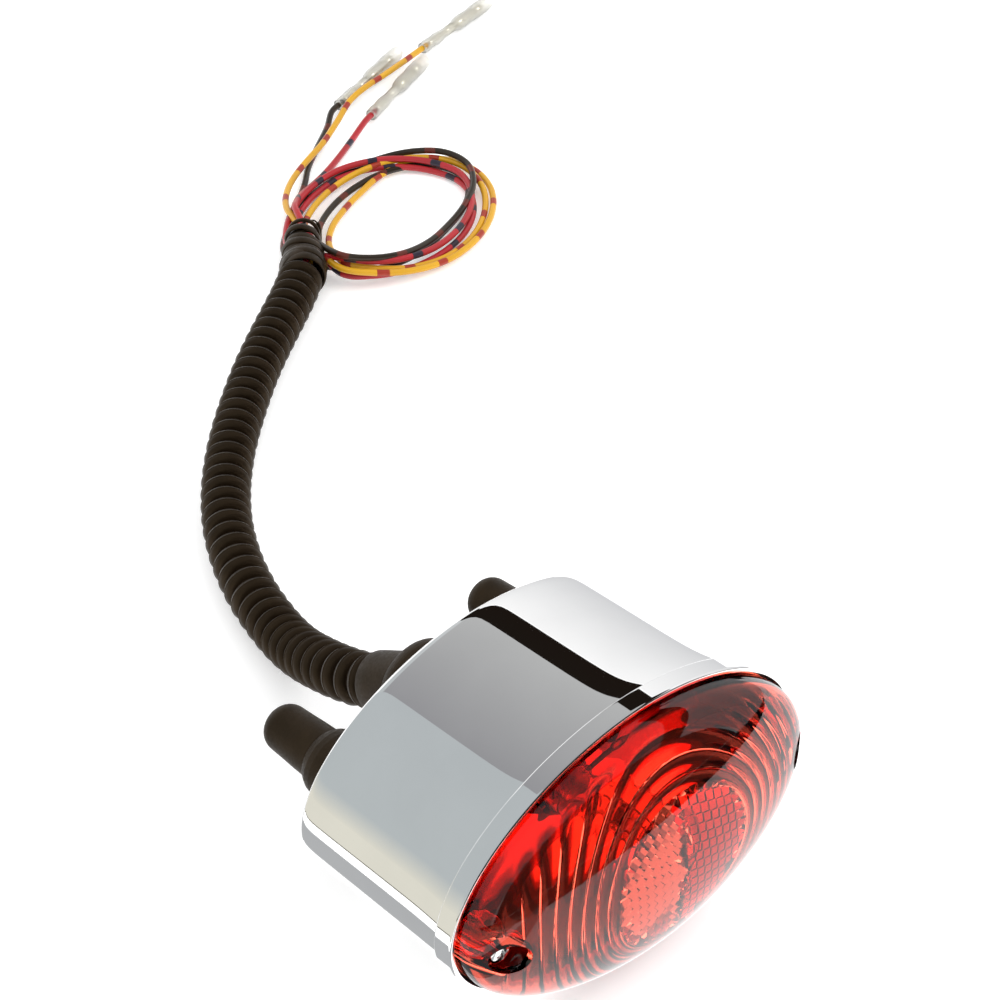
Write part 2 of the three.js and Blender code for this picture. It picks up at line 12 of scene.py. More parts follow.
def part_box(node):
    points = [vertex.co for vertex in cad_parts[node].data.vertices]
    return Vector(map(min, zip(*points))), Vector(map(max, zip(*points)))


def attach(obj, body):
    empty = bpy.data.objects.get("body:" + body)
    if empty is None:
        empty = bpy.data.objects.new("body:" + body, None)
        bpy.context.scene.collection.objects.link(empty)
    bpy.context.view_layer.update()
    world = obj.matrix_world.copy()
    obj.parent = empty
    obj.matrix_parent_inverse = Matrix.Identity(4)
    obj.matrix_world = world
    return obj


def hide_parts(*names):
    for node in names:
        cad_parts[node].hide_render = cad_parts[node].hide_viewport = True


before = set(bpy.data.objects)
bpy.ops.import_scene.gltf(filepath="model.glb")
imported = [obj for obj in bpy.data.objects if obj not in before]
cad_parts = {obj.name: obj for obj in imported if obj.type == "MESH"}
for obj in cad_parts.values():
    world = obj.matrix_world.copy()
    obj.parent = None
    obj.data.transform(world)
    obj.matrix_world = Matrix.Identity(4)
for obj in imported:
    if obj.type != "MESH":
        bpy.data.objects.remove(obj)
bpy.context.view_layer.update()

MM = 0.001
OVAL_POWER = 1.92
ROUND = 256  # points round the lamp's outline

# The lamp's own axis, from the frame: it runs along Y through the middle of the housing.
housing_low, housing_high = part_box("housing")
LIP_Y = housing_low.y / MM
AXIS_Z = (housing_low.z + housing_high.z) / 2 / MM
LIP_LENGTH = housing_high.x / MM
LIP_HEIGHT = (housing_high.z - housing_low.z) / 2 / MM


def centre_x(node):
    low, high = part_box(node)
    return (low.x + high.x) / 2 / MM


# ---- Camera -------------------------------------------------------------------------------------

# Fitted by a program to outline points read on the photo.
CAMERA_PLACE = (-0.4044, -0.4067, 0.5859)
CAMERA_LENS, SENSOR_WIDTH = 101.86, 36
CAMERA_AZIMUTH, CAMERA_ELEVATION, CAMERA_ROLL = (math.radians(a) for a in (-44.09, 38.24, -0.29))


def make_camera():
    data = bpy.data.cameras.new("camera")
    data.lens, data.sensor_width = CAMERA_LENS, SENSOR_WIDTH
    data.clip_start, data.clip_end = 0.05, 50
    camera = bpy.data.objects.new("camera", data)
    bpy.context.scene.collection.objects.link(camera)
    a, e, r = CAMERA_AZIMUTH, CAMERA_ELEVATION, CAMERA_ROLL
    back = Vector((math.sin(a) * math.cos(e), -math.cos(a) * math.cos(e), math.sin(e)))
    level = Vector((math.cos(a), math.sin(a), 0))
    steep = back.cross(level)
    right = level * math.cos(r) + steep * math.sin(r)
    up = steep * math.cos(r) - level * math.sin(r)
    turn = Matrix((right, up, back)).transposed().to_4x4()
    camera.matrix_world = Matrix.Translation(CAMERA_PLACE) @ turn
    bpy.context.scene.camera = camera


make_camera()


# ---- Mesh helpers: points in millimetres, in the lamp's frame or the row's ------------------------


class Shape:
    """Points and faces gathered for one mesh. Each face has a material index and is smooth or flat."""

    def __init__(self):
        self.points = []
        self.faces = []
        self.marks = []

    def add(self, points, faces, material=0, smooth=True):
        start = len(self.points)
        self.points.extend(tuple(float(c) for c in p) for p in points)
        self.faces.extend(tuple(start + i for i in f) for f in faces)
        self.marks.extend([(material, smooth)] * len(faces))
        return self

    def stack(self, rings, first="open", last="open", material=0, wrap=True):
        """Joins rings of equal count into a skin. An end is open, or closed by a fan to its middle."""
        rings = [np.asarray(r, float) for r in rings]
        n, count = len(rings[0]), len(rings)
        points = list(np.concatenate(rings))
        steps = n if wrap else n - 1
        faces = [
            (i * n + j, i * n + (j + 1) % n, (i + 1) * n + (j + 1) % n, (i + 1) * n + j)
            for i in range(count - 1)
            for j in range(steps)
        ]
        if first == "closed":
            points.append(rings[0].mean(0))
            faces += [(len(points) - 1, (j + 1) % n, j) for j in range(n)]
        if last == "closed":
            points.append(rings[-1].mean(0))
            end = (count - 1) * n
            faces += [(len(points) - 1, end + j, end + (j + 1) % n) for j in range(n)]
        return self.add(points, faces, material)

    def loop(self, rings):
        """Joins rings into a closed skin whose last ring meets its first."""
        return self.stack([*rings, rings[0]])

    def mesh(self, name, in_lamp=True):
        shift = np.array((0, LIP_Y, AXIS_Z)) if in_lamp else np.zeros(3)
        points = (np.array(self.points) + shift) * MM
        data = bpy.data.meshes.new(name)
        data.from_pydata(points.tolist(), [], self.faces)
        data.polygons.foreach_set("material_index", [m for m, _ in self.marks])
        data.polygons.foreach_set("use_smooth", [s for _, s in self.marks])
        data.validate()
        data.update()
        return data


def settle(name, data, body, materials, replaces=(), weld=True):
    """Makes the object of a mesh, with its materials and body, and hides the frame's nodes that it replaces.
    """
    piece = bpy.data.objects.new(name, data)
    bpy.context.scene.collection.objects.link(piece)
    for material in materials:
        data.materials.append(material)
    if weld:
        merge = piece.modifiers.new("weld", "WELD")
        merge.merge_threshold = 1e-6
        apply_modifiers(piece)
    face_out(piece)
    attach(piece, body)
    if replaces:
        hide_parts(*replaces)
    return piece


def apply_modifiers(piece):
    bpy.context.view_layer.update()
    evaluated = piece.evaluated_get(bpy.context.evaluated_depsgraph_get())
    data = bpy.data.meshes.new_from_object(evaluated)
    old = piece.data
    piece.modifiers.clear()
    piece.data = data
    bpy.data.meshes.remove(old)


def face_out(piece):
    """Turns every closed shell's faces outwards and shades across soft edges only."""
    work = bmesh.new()
    work.from_mesh(piece.data)
    bmesh.ops.recalc_face_normals(work, faces=work.faces)
    for edge in work.edges:
        edge.smooth = edge.calc_face_angle(0.0) < math.radians(38)
    work.to_mesh(piece.data)
    work.free()


def arc(centre, radius, start, end, steps):
    """Points of an arc in a profile's [radius, y] plane, angles in degrees."""
    angles = np.radians(np.linspace(start, end, steps + 1))
    return [(centre[0] + radius * math.cos(a), centre[1] + radius * math.sin(a)) for a in angles]


def held(profile, edge=0.15, closed=False):
    """A profile with points added just inside each long stretch, so that its shading stays crisp."""
    result = []
    pairs = zip(profile, [*profile[1:], profile[0]] if closed else profile[1:])
    for p, q in pairs:
        p, q = np.array(p, float), np.array(q, float)
        result.append(tuple(p))
        length = np.linalg.norm(q - p)
        if length > 6 * edge:
            way = (q - p) / length
            result += [tuple(p + way * edge), tuple(q - way * edge)]
    return result if closed else [*result, tuple(profile[-1])]


def turned_rings(profile, x=0.0, z=0.0, count=64):
    angles = np.arange(count) * 2 * math.pi / count
    unit = np.stack([np.cos(angles), np.sin(angles)], 1)
    return [np.column_stack([x + r * unit[:, 0], np.full(count, y), z + r * unit[:, 1]]) for r, y in profile]


def oval_ring(length, height, y, count=ROUND):
    angles = (np.arange(count) + 0.5) * 2 * math.pi / count
    c, s = np.cos(angles), np.sin(angles)
    x = length * np.sign(c) * np.abs(c) ** (2 / OVAL_POWER)
    z = height * np.sign(s) * np.abs(s) ** (2 / OVAL_POWER)
    return np.column_stack([x, np.full(count, y), z])


def lip_ring(inset, y, count=ROUND):
    """A contour that keeps its distance to the lip's outline."""
    return oval_ring(LIP_LENGTH - inset, LIP_HEIGHT - inset, y, count)


# ---- Materials ----------------------------------------------------------------------------------


class Nodes:
    """A material's node tree, with short ways to add and join nodes."""

    def __init__(self, name):
        self.material = bpy.data.materials.new(name)
        self.material.use_nodes = True
        self.tree = self.material.node_tree
        self.shader = next(n for n in self.tree.nodes if n.type == "BSDF_PRINCIPLED")

    def set(self, **values):
        for key, value in values.items():
            self.shader.inputs[key.replace("_", " ")].default_value = value
        return self

    def node(self, kind, **values):
        made = self.tree.nodes.new(kind)
        for key, value in values.items():
            if hasattr(made, key):
                setattr(made, key, value)
            else:
                made.inputs[key.replace("_", " ")].default_value = value
        return made

    def link(self, output, target):
        self.tree.links.new(output, target)

    def noise(self, scale, detail=4.0):
        """A noise over the object's own metres."""
        place = self.node("ShaderNodeTexCoord")
        turn = self.node("ShaderNodeMapping")
        self.link(place.outputs["Object"], turn.inputs["Vector"])
        made = self.node("ShaderNodeTexNoise", Scale=scale, Detail=detail, Roughness=0.5)
        self.link(turn.outputs["Vector"], made.inputs["Vector"])
        return made.outputs["Fac"]

    def span(self, value, low, high):
        """Stretches a 0 to 1 value to low to high."""
        made = self.node("ShaderNodeMapRange", clamp=True)
        made.inputs["To Min"].default_value = low
        made.inputs["To Max"].default_value = high
        made.inputs["From Min"].default_value = 0.3
        made.inputs["From Max"].default_value = 0.7
        self.link(value, made.inputs["Value"])
        return made.outputs["Result"]

    def rough(self, value, low, high):
        self.link(self.span(value, low, high), self.shader.inputs["Roughness"])
        return self

    def colour(self, value, dark, light):
        """Base colour between two shades by a value."""
        ramp = self.node("ShaderNodeValToRGB")
        ramp.color_ramp.elements[0].position, ramp.color_ramp.elements[1].position = 0.35, 0.65
        ramp.color_ramp.elements[0].color = (*dark, 1)
        ramp.color_ramp.elements[1].color = (*light, 1)
        self.link(value, ramp.inputs["Fac"])
        self.link(ramp.outputs["Color"], self.shader.inputs["Base Color"])
        return ramp.outputs["Color"]

    def bump(self, value, strength, distance):
        made = self.node("ShaderNodeBump", Strength=strength, Distance=distance)
        self.link(value, made.inputs["Height"])
        self.link(made.outputs["Normal"], self.shader.inputs["Normal"])
        return self


def metal(name, dark, light, low, high, grain=900.0, bump=0.0):
    made = Nodes(name).set(Metallic=1.0)
    value = made.noise(grain)
    made.colour(made.noise(60.0), dark, light)
    made.rough(value, low, high)
    if bump:
        made.bump(value, bump, 0.0001)
    return made.material


def plastic(name, dark, light, low, high, grain=1500.0, bump=0.15, **values):
    made = Nodes(name).set(**values)
    fine = made.noise(grain, detail=5)
    made.colour(made.noise(120.0), dark, light)
    made.rough(fine, low, high)
    made.bump(fine, bump, 0.00012)
    return made.material


def clear(name, colour, roughness, ior, **values):
    made = Nodes(name).set(Transmission_Weight=1.0, IOR=ior, Roughness=roughness, **values)
    tint = made.noise(90.0)
    made.colour(tint, [c * 0.96 for c in colour], colour)
    return made.material


def banded(name, base, shade, mark, period, width):
    """Wire insulation with ring marks, by the distance along the wire held in the mesh."""
    made = Nodes(name).set(IOR=1.5, Coat_Weight=0.15, Coat_Roughness=0.12, Specular_IOR_Level=0.4)
    along = made.node("ShaderNodeAttribute", attribute_name="along").outputs["Fac"]
    waver = made.noise(140.0, detail=1)
    add = made.node("ShaderNodeMath", operation="MULTIPLY_ADD")
    made.link(waver, add.inputs[0])
    add.inputs[1].default_value = 0.0022
    made.link(along, add.inputs[2])
    turns = made.node("ShaderNodeMath", operation="DIVIDE")
    made.link(add.outputs[0], turns.inputs[0])
    turns.inputs[1].default_value = period
    part = made.node("ShaderNodeMath", operation="FRACT")
    made.link(turns.outputs[0], part.inputs[0])
    ramp = made.node("ShaderNodeValToRGB")
    share = width / period
    elements = ramp.color_ramp.elements
    elements[0].position, elements[0].color = 0.0, (*base, 1)
    elements[1].position, elements[1].color = 0.985 - share, (*shade, 1)
    first = elements.new(1.0 - share)
    first.color = (*mark, 1)
    second = elements.new(0.985)
    second.color = (*mark, 1)
    made.link(part.outputs[0], ramp.inputs["Fac"])
    made.link(ramp.outputs["Color"], made.shader.inputs["Base Color"])
    made.rough(made.noise(900.0), 0.3, 0.42)
    made.bump(made.noise(700.0, detail=3), 0.12, 0.0002)
    return made.material


CHROME = metal("chrome", (0.885, 0.885, 0.885), (0.91, 0.91, 0.91), 0.012, 0.03)
CAST = metal("raw_casting", (0.13, 0.13, 0.13), (0.20, 0.20, 0.21), 0.45, 0.6, grain=500.0, bump=0.4)
STEEL = metal("zinc_steel", (0.50, 0.51, 0.52), (0.66, 0.66, 0.66), 0.28, 0.42, grain=1200.0, bump=0.1)
PLATE = metal("bright_plate", (0.86, 0.86, 0.85), (0.93, 0.93, 0.92), 0.10, 0.17, grain=700.0, bump=0.05)
BRASS = metal("brass", (0.62, 0.45, 0.16), (0.78, 0.61, 0.28), 0.24, 0.38, bump=0.1)
TIN = metal("tinned_brass", (0.70, 0.68, 0.60), (0.82, 0.80, 0.74), 0.2, 0.34, bump=0.1)
SOLDER = metal("solder", (0.40, 0.40, 0.41), (0.55, 0.55, 0.56), 0.4, 0.55, grain=600.0, bump=0.3)
FIBRE = plastic("pressed_fibre", (0.13, 0.06, 0.03), (0.22, 0.12, 0.07), 0.7, 0.9, grain=900.0, bump=0.5)
WARM = (1.0, 0.72, 0.45, 1)
RUBBER = plastic(
    "rubber", (0.011, 0.0066, 0.0030), (0.018, 0.011, 0.0055), 0.46, 0.6, grain=1100.0, bump=0.22,
    Specular_IOR_Level=0.26, Specular_Tint=WARM,
)
LOOM = plastic(
    "loom_plastic", (0.008, 0.0045, 0.0022), (0.013, 0.0080, 0.0042), 0.34, 0.46, grain=1000.0, bump=0.15,
    Specular_IOR_Level=0.3, Specular_Tint=WARM,
)
TIE = plastic(
    "tie_plastic", (0.010, 0.0065, 0.0035), (0.020, 0.013, 0.0080), 0.36, 0.5, grain=900.0, bump=0.2,
    Specular_IOR_Level=0.3, Specular_Tint=WARM,
)
RED_CLEAR = clear("red_clear", (0.80, 0.098, 0.054), 0.0, 1.49)
# A darker copy of the lens's red: painted shade for the thick rim and the reflex patch's left half.
PAINTED_SHADE_RED_CLEAR = clear("red_painted_shade", (0.24, 0.0055, 0.0042), 0.0, 1.49)
REFLEX_CLEAR = clear("red_reflex", (0.74, 0.085, 0.06), 0.0, 1.49)
GLASS = clear("bulb_glass", (0.97, 0.98, 0.98), 0.0, 1.45)
SLEEVE = clear("milky_sleeve", (0.93, 0.92, 0.88), 0.32, 1.45, Subsurface_Weight=0.0)
YELLOW = banded(
    "yellow_wire", (0.66, 0.345, 0.006), (0.60, 0.305, 0.005), (0.33, 0.028, 0.010), 0.0243, 0.0043
)
RED = banded("red_wire", (0.42, 0.014, 0.022), (0.35, 0.012, 0.018), (0.022, 0.016, 0.032), 0.0262, 0.0042)
BROWN = banded(
    "brown_wire", (0.020, 0.012, 0.0055), (0.026, 0.016, 0.008), (0.11, 0.015, 0.007), 0.0231, 0.0042
)


# ---- Paths --------------------------------------------------------------------------------------


def smooth_path(points, step):
    """A smooth curve through given points, as points that lie about step apart."""
    p = np.array(points, float)
    p = np.concatenate([[2 * p[0] - p[1]], p, [2 * p[-1] - p[-2]]])
    dense = []
    for a, b, c, d in zip(p, p[1:], p[2:], p[3:]):
        gaps = [max(np.linalg.norm(v - u), 1e-6) ** 0.5 for u, v in ((a, b), (b, c), (c, d))]
        knots = np.cumsum([0.0, *gaps])
        t = np.linspace(knots[1], knots[2], 24, endpoint=False)[:, None]
        t0, t1, t2, t3 = knots
        ab = (t1 - t) / (t1 - t0) * a + (t - t0) / (t1 - t0) * b
        bc = (t2 - t) / (t2 - t1) * b + (t - t1) / (t2 - t1) * c
        cd = (t3 - t) / (t3 - t2) * c + (t - t2) / (t3 - t2) * d
        first = (t2 - t) / (t2 - t0) * ab + (t - t0) / (t2 - t0) * bc
        second = (t3 - t) / (t3 - t1) * bc + (t - t1) / (t3 - t1) * cd
        dense.append((t2 - t) / (t2 - t1) * first + (t - t1) / (t2 - t1) * second)
    dense = np.concatenate([*dense, p[-2:-1]])
    places = np.concatenate([[0], np.cumsum(np.linalg.norm(np.diff(dense, axis=0), axis=1))])
    count = max(2, round(places[-1] / step) + 1)
    wanted = np.linspace(0, places[-1], count)
    return np.column_stack([np.interp(wanted, places, dense[:, i]) for i in range(3)])


def path_frames(path):
    """Two cross directions at each point of a path, carried along without twist."""
    ways = np.gradient(path, axis=0)
    ways /= np.linalg.norm(ways, axis=1)[:, None]
    side = np.cross(ways[0], (0, 0, 1))
    side /= np.linalg.norm(side)
    sides = []
    for way in ways:
        side = side - way * (side @ way)
        side /= np.linalg.norm(side)
        sides.append(side)
    sides = np.array(sides)
    return ways, sides, np.cross(ways, sides)


def path_places(path):
    return np.concatenate([[0], np.cumsum(np.linalg.norm(np.diff(path, axis=0), axis=1))])


def tube_rings(path, radii, count):
    _, sides, tops = path_frames(path)
    angles = np.arange(count) * 2 * math.pi / count
    c, s = np.cos(angles), np.sin(angles)
    return [
        p + r * (c[:, None] * a + s[:, None] * b)
        for p, a, b, r in zip(path, sides, tops, np.broadcast_to(radii, len(path)))
    ]


# ---- Loom and boot ------------------------------------------------------------------------------

LOOM_RADIUS = 8.4
GROOVE_RADIUS = 6.1
RIB_PITCH = 6.15
LOOM_REST = 8.4  # height of the loom's middle where it lies on the table
# The routes were traced on the photo and turned into millimetres by a program with the fitted
# camera, then rounded and in places moved a little. Only their heights were chosen.
LOOM_ROUTE = [
    (-0.8, 50, 38.2), (-1.2, 56, 35.3), (-1.6, 61.5, 32.7), (-1.9, 67.5, 30.1), (-1.4, 77, 26.2),
    (1, 90, 20.4), (4.4, 103, 14.6), (8, 115, 10.8), (12, 128, 8.9), (16.4, 141, LOOM_REST),
    (23.6, 157, LOOM_REST), (33, 172.6, LOOM_REST), (44.2, 186.8, LOOM_REST), (56, 199.2, LOOM_REST),
    (68.6, 210.6, LOOM_REST), (81.6, 221.2, LOOM_REST), (95, 231.4, LOOM_REST), (110, 241.6, LOOM_REST),
    (126, 251.8, LOOM_REST), (137, 259, LOOM_REST), (146, 265.6, LOOM_REST),
]


def rib_radius(place):
    """The loom's outside radius at a distance along it: round crests with a fine line, deep grooves."""
    part = np.abs((place / RIB_PITCH) % 1.0 - 0.5)
    swell = np.sqrt(np.clip(1 - (part / 0.37) ** 2, 0, 1))
    line = 0.18 * np.exp(-((part / 0.03) ** 2))
    return GROOVE_RADIUS + (LOOM_RADIUS - 0.18 - GROOVE_RADIUS) * swell + line


def make_loom():
    path = smooth_path(LOOM_ROUTE, RIB_PITCH / 24)
    places = path_places(path)
    outer = tube_rings(path, rib_radius(places), 56)
    shape = Shape()
    shape.stack(outer)
    back = tube_rings(path, rib_radius(places) - 0.9, 56)
    shape.stack([outer[-1], back[-1], back[-30]], last="closed")
    shape.stack([outer[0], back[0], back[30]], last="closed")
    loom = settle("loom_sleeve", shape.mesh("loom_sleeve", False), "lamp", [LOOM], ["loom"])


make_loom()


# ---- The coil and the wires ---------------------------------------------------------------------

WIRE_RADIUS = 1.25
# The coil's ellipse was fitted to points traced on the photo. The tie, the free ends and the sleeves come
# from the same tracing as LOOM_ROUTE. TURNS was chosen.
COIL_X, COIL_Y, COIL_LENGTH, COIL_WIDTH = 202.7, 277.7, 42.5, 27.6
COIL_TURN = math.radians(18.6)
TIE_START, TIE_END = np.array((149.6, 268.6, 8.1)), np.array((173.8, 296.4, 8.1))

# Each wire goes round twice, from the tie along the far side, the right end and the near side.
# A turn is [far, right, near, tie]: how far outside the middle line, and how high.
TURNS = {
    "red": [
        [(8.6, 6.2), (-2.4, 4.4), (-0.8, 4.2), (-1.0, 9.6)],
        [(6.4, 4.0), (-4.0, 1.5), (0.9, 1.7), (1.4, 4.2)],
    ],
    "yellow": [
        [(2.6, 4.4), (2.6, 3.7), (4.6, 1.5), (-2.4, 6.6)],
        [(-7.6, 2.4), (6.2, 1.6), (7.4, 2.6), (2.6, 7.6)],
    ],
    "brown": [
        [(-3.0, 3.0), (0.6, 1.4), (-6.6, 1.8), (-2.2, 4.0)],
        [(9.2, 1.6), (3.4, 6.6), (-5.4, 4.3), (0.6, 11.8)],
    ],
}
ENTRY = {"red": (0.6, 10.4), "yellow": (2.6, 7.4), "brown": (0.2, 5.2)}  # side, height
FREE_ENDS = {
    "yellow": [
        (171.6, 300.4, 7.2), (175.8, 308.8, 6.2), (183.4, 317.2, 5), (193.6, 324.6, 4.3), (205.4, 330.4, 4.2),
        (217.6, 335.6, 4.2), (232.6, 343.6, 4.6), (246.6, 351.2, 5.6), (258.4, 354.6, 5.9), (271, 357.4, 5.2),
        (286, 361.8, 3.8),
    ],
    "red": [
        (172.8, 299.3, 10.2), (178.8, 306, 8), (186.4, 312, 5), (195.2, 316.6, 2.8), (205.4, 321, 1.6),
        (218.4, 326.8, 1.4), (231.8, 333.2, 1.8),
    ],
    "brown": [
        (172.2, 299.9, 4.4), (178.4, 307.2, 2.2), (187, 314.4, 1.3), (196.4, 321.8, 1.3), (205, 329.6, 1.3),
        (216, 337.4, 1.4), (230.2, 346.8, 1.9),
    ],
}
SLEEVES = {
    "yellow": ((299.4, 365.2), (347.4, 375.1)),
    "red": ((247.6, 339.8), (296.4, 358.4)),
    "brown": ((243.4, 354.8), (288.9, 369.6)),
}
SLEEVE_REST = 3.2
WIRE_LOOKS = {"yellow": YELLOW, "red": RED, "brown": BROWN}


def coil_point(quarter, out, height):
    """A point of the coil. quarter runs 0 at the far side, 1 right, 2 near, 3 at the tie."""
    angle = math.pi / 2 - quarter * math.pi / 2
    along = (COIL_LENGTH + out) * math.cos(angle)
    across = (COIL_WIDTH + out) * math.sin(angle)
    c, s = math.cos(COIL_TURN), math.sin(COIL_TURN)
    return (COIL_X + along * c - across * s, COIL_Y + along * s + across * c, height)


def turn_points(turn, following):
    """A wire's turn as 15 points, easing from each quarter's place to the next."""
    stops = [*turn, following]
    points = []
    for i in range(15):
        quarter = -0.55 + i * 0.25
        left = min(max(int(math.floor(quarter)), 0), 3)
        ease = min(max(quarter - left, 0.0), 1.0)
        ease = ease * ease * (3 - 2 * ease)
        out, height = (stops[left][k] * (1 - ease) + stops[left + 1][k] * ease for k in (0, 1))
        points.append(coil_point(quarter, out, height))
    return points


def wire_route(colour):
    first, second = TURNS[colour]
    side, up = ENTRY[colour]
    way = (TIE_END - TIE_START) / np.linalg.norm(TIE_END - TIE_START)
    across = np.array((way[1], -way[0], 0))
    start = TIE_START - way * 5 + across * side * 0.6
    start[2] = 8.4 + (up - 8.0) * 0.5
    middle = TIE_START + way * 12 + across * side
    middle[2] = up
    (x0, y0), (x1, y1) = SLEEVES[colour]
    lead = np.array((x1 - x0, y1 - y0, 0)) / math.hypot(x1 - x0, y1 - y0)
    crimp = np.array((x0, y0, SLEEVE_REST)) + lead * 3
    loops = [*turn_points(first, second[0]), *turn_points(second, second[3])]
    return [tuple(start), tuple(middle), *loops, *FREE_ENDS[colour], tuple(crimp - lead * 8), tuple(crimp)]


def make_wire(colour, extras):
    path = smooth_path(wire_route(colour), 0.8)
    places = path_places(path)
    shape = Shape()
    shape.stack(tube_rings(path, WIRE_RADIUS, 16), first="closed", last="closed")
    data = shape.mesh(f"{colour}_wire", False)
    along = data.attributes.new("along", "FLOAT", "POINT")
    values = np.concatenate([np.repeat(places, 16), [places[0], places[-1]]]) * MM
    along.data.foreach_set("value", values.astype(np.float32))
    nodes = [f"wire_{colour}", "wire_coil"]
    wire = settle(f"{colour}_wire", data, "lamp", [WIRE_LOOKS[colour]], nodes, weld=False)


# A connector along its own axis: the milky sleeve, with the barrel and bullet inside it.
SLEEVE_OUTSIDE = [
    (1.7, 0), (2.2, 0.1), (2.42, 0.5), (2.5, 3), (2.35, 6.5), (2.5, 10), (2.35, 12.4), (2.0, 14.6),
    (1.95, 21), (2.1, 23), (2.7, 24.6), (2.95, 26.4), (3.0, 29), (2.85, 32), (2.8, 34.2), (2.95, 36),
    (3.1, 38), (3.12, 42), (3.0, 46), (2.85, 48.2), (2.6, 48.9), (2.3, 49),
]
BULLET_PROFILE = [
    (0, 4.6), (1.2, 4.6), (1.45, 5.4), (1.45, 12), (1.15, 13.2), (1.15, 17), (1.5, 18), (1.5, 25.6),
    (1.95, 27), (2.05, 28), (2.05, 36), (1.85, 37), (1.5, 37.6), (1.5, 39), (1.9, 40), (1.6, 42.6),
    (0.8, 43.8), (0, 44),
]


def along_axis(profile, start, way, count):
    """Rings of a profile turned about a level line."""
    path = [start + way * y for _, y in profile]
    side = np.array((way[1], -way[0], 0))
    angles = np.arange(count) * 2 * math.pi / count
    spokes = np.cos(angles)[:, None] * side + np.sin(angles)[:, None] * np.array((0, 0, 1))
    return [p + r * spokes for p, (r, _) in zip(path, profile)]


def make_connector(colour):
    (x0, y0), (x1, y1) = SLEEVES[colour]
    start = np.array((x0, y0, SLEEVE_REST))
    way = np.array((x1 - x0, y1 - y0, 0)) / math.hypot(x1 - x0, y1 - y0)
    inside = [(max(r - 0.55, 1.32), y) for r, y in reversed(SLEEVE_OUTSIDE)]
    shape = Shape().loop(along_axis([*SLEEVE_OUTSIDE, *inside], start, way, 32))
    sleeve = settle(
        f"{colour}_sleeve", shape.mesh(f"{colour}_sleeve", False), "lamp", [SLEEVE],
        [f"sleeve_{colour}"],
    )
    rings = along_axis(held(BULLET_PROFILE[1:-1], 0.1), start, way, 24)
    shape = Shape().stack(rings, first="closed", last="closed")
    bullet = settle(
        f"{colour}_bullet", shape.mesh(f"{colour}_bullet", False), "lamp", [TIN],
        [f"bullet_{colour}"],
    )
    return [sleeve, bullet]


for wire_colour in ("yellow", "red", "brown"):
    make_wire(wire_colour, make_connector(wire_colour))


# ---- Twist tie ----------------------------------------------------------------------------------

TIE_TURNS = [  # how far along the bundle, how far out, how wide the band is
    (20.0, 5.1, 4.0), (15.0, 5.4, 4.4), (10.0, 5.9, 4.6), (5.0, 6.6, 4.6), (0.5, 7.4, 4.6), (-3.2, 8.6, 4.2),
    (0.6, 8.1, 4.0), (4.8, 7.4, 4.0), (9.2, 6.9, 3.8), (13.6, 6.6, 3.8), (18.0, 6.3, 3.6), (24.5, 6.1, 1.5),
    (26.0, 6.2, 1.0),
]


def make_tie():
    """A flat plastic-covered wire, wound round the loom's end and the wires."""
    way = (TIE_END - TIE_START) / np.linalg.norm(TIE_END - TIE_START)
    side = np.array((way[1], -way[0], 0))
    count = 40 * (len(TIE_TURNS) - 1) + 1
    turns = np.linspace(0, len(TIE_TURNS) - 1, count)
    stops = range(len(TIE_TURNS))
    alongs, outs, widths = (np.interp(turns, stops, [t[k] for t in TIE_TURNS]) for k in range(3))
    angles = 2 * math.pi * turns + 0.6
    outs = outs + 0.45 * np.sin(3.1 * turns + 1) + 0.3 * np.sin(2 * angles + turns)
    spokes = np.cos(angles)[:, None] * side + np.sin(angles)[:, None] * np.array((0, 0, 1))
    path = TIE_START + way * alongs[:, None] + spokes * outs[:, None]
    path[:, 2] = np.maximum(path[:, 2], 0.75)
    ways, _, _ = path_frames(path)
    rings = []
    for p, forward, spoke, width in zip(path, ways, spokes, widths):
        across = np.cross(forward, spoke)
        ring = []
        for corner in np.arange(20) * 2 * math.pi / 20:
            c, d = math.cos(corner), math.sin(corner)
            flat = math.copysign(abs(c) ** 0.5, c) * width / 2
            thick = math.copysign(abs(d) ** 0.7, d) * (0.5 + 0.22 * math.exp(-((flat / 0.7) ** 2)))
            ring.append(p + across * flat + spoke * thick)
        rings.append(ring)
    shape = Shape().stack(rings, first="closed", last="closed")
    start = path[-1]
    tail = smooth_path([start, start + spokes[-1] * 2 - side * 3, start - side * 9 - way * 2], 0.5)
    shape.stack(tube_rings(tail, 0.32, 10), first="closed", last="closed")
    settle("tie_winding", shape.mesh("tie_winding", False), "lamp", [TIE], ["twist_tie"])


make_tie()


# ---- Housing ------------------------------------------------------------------------------------

LIP_DEPTH, BODY_DEPTH = 6.5, 61.5
BACK_BEVEL, PAD_OFFSET, GAP = 1.2, 28, 0.3
LIP_STEP, BODY_DRAFT, WALL, BACK_WALL, SEAT_DEPTH = 1.1, 0.9, 2.7, 3.2, 4.6
STUD_X = abs(centre_x("stud_cap_left"))
SCREW_X = abs(centre_x("lens_screw_left"))
PLATE_SCREW_X = abs(centre_x("plate_screw_left"))
SIDES = {"left": -1, "right": 1}


def body_inset(y):
    """How far the body lies inside the lip. It rolls off softly towards the step and the back edge."""
    along = (y - LIP_DEPTH) / (BODY_DEPTH - LIP_DEPTH)
    back = math.exp(-(BODY_DEPTH - BACK_BEVEL - y) / 1.3)
    return LIP_STEP + BODY_DRAFT * along + 0.62 * math.exp(-(y - LIP_DEPTH) / 3.4) + 0.2 * back


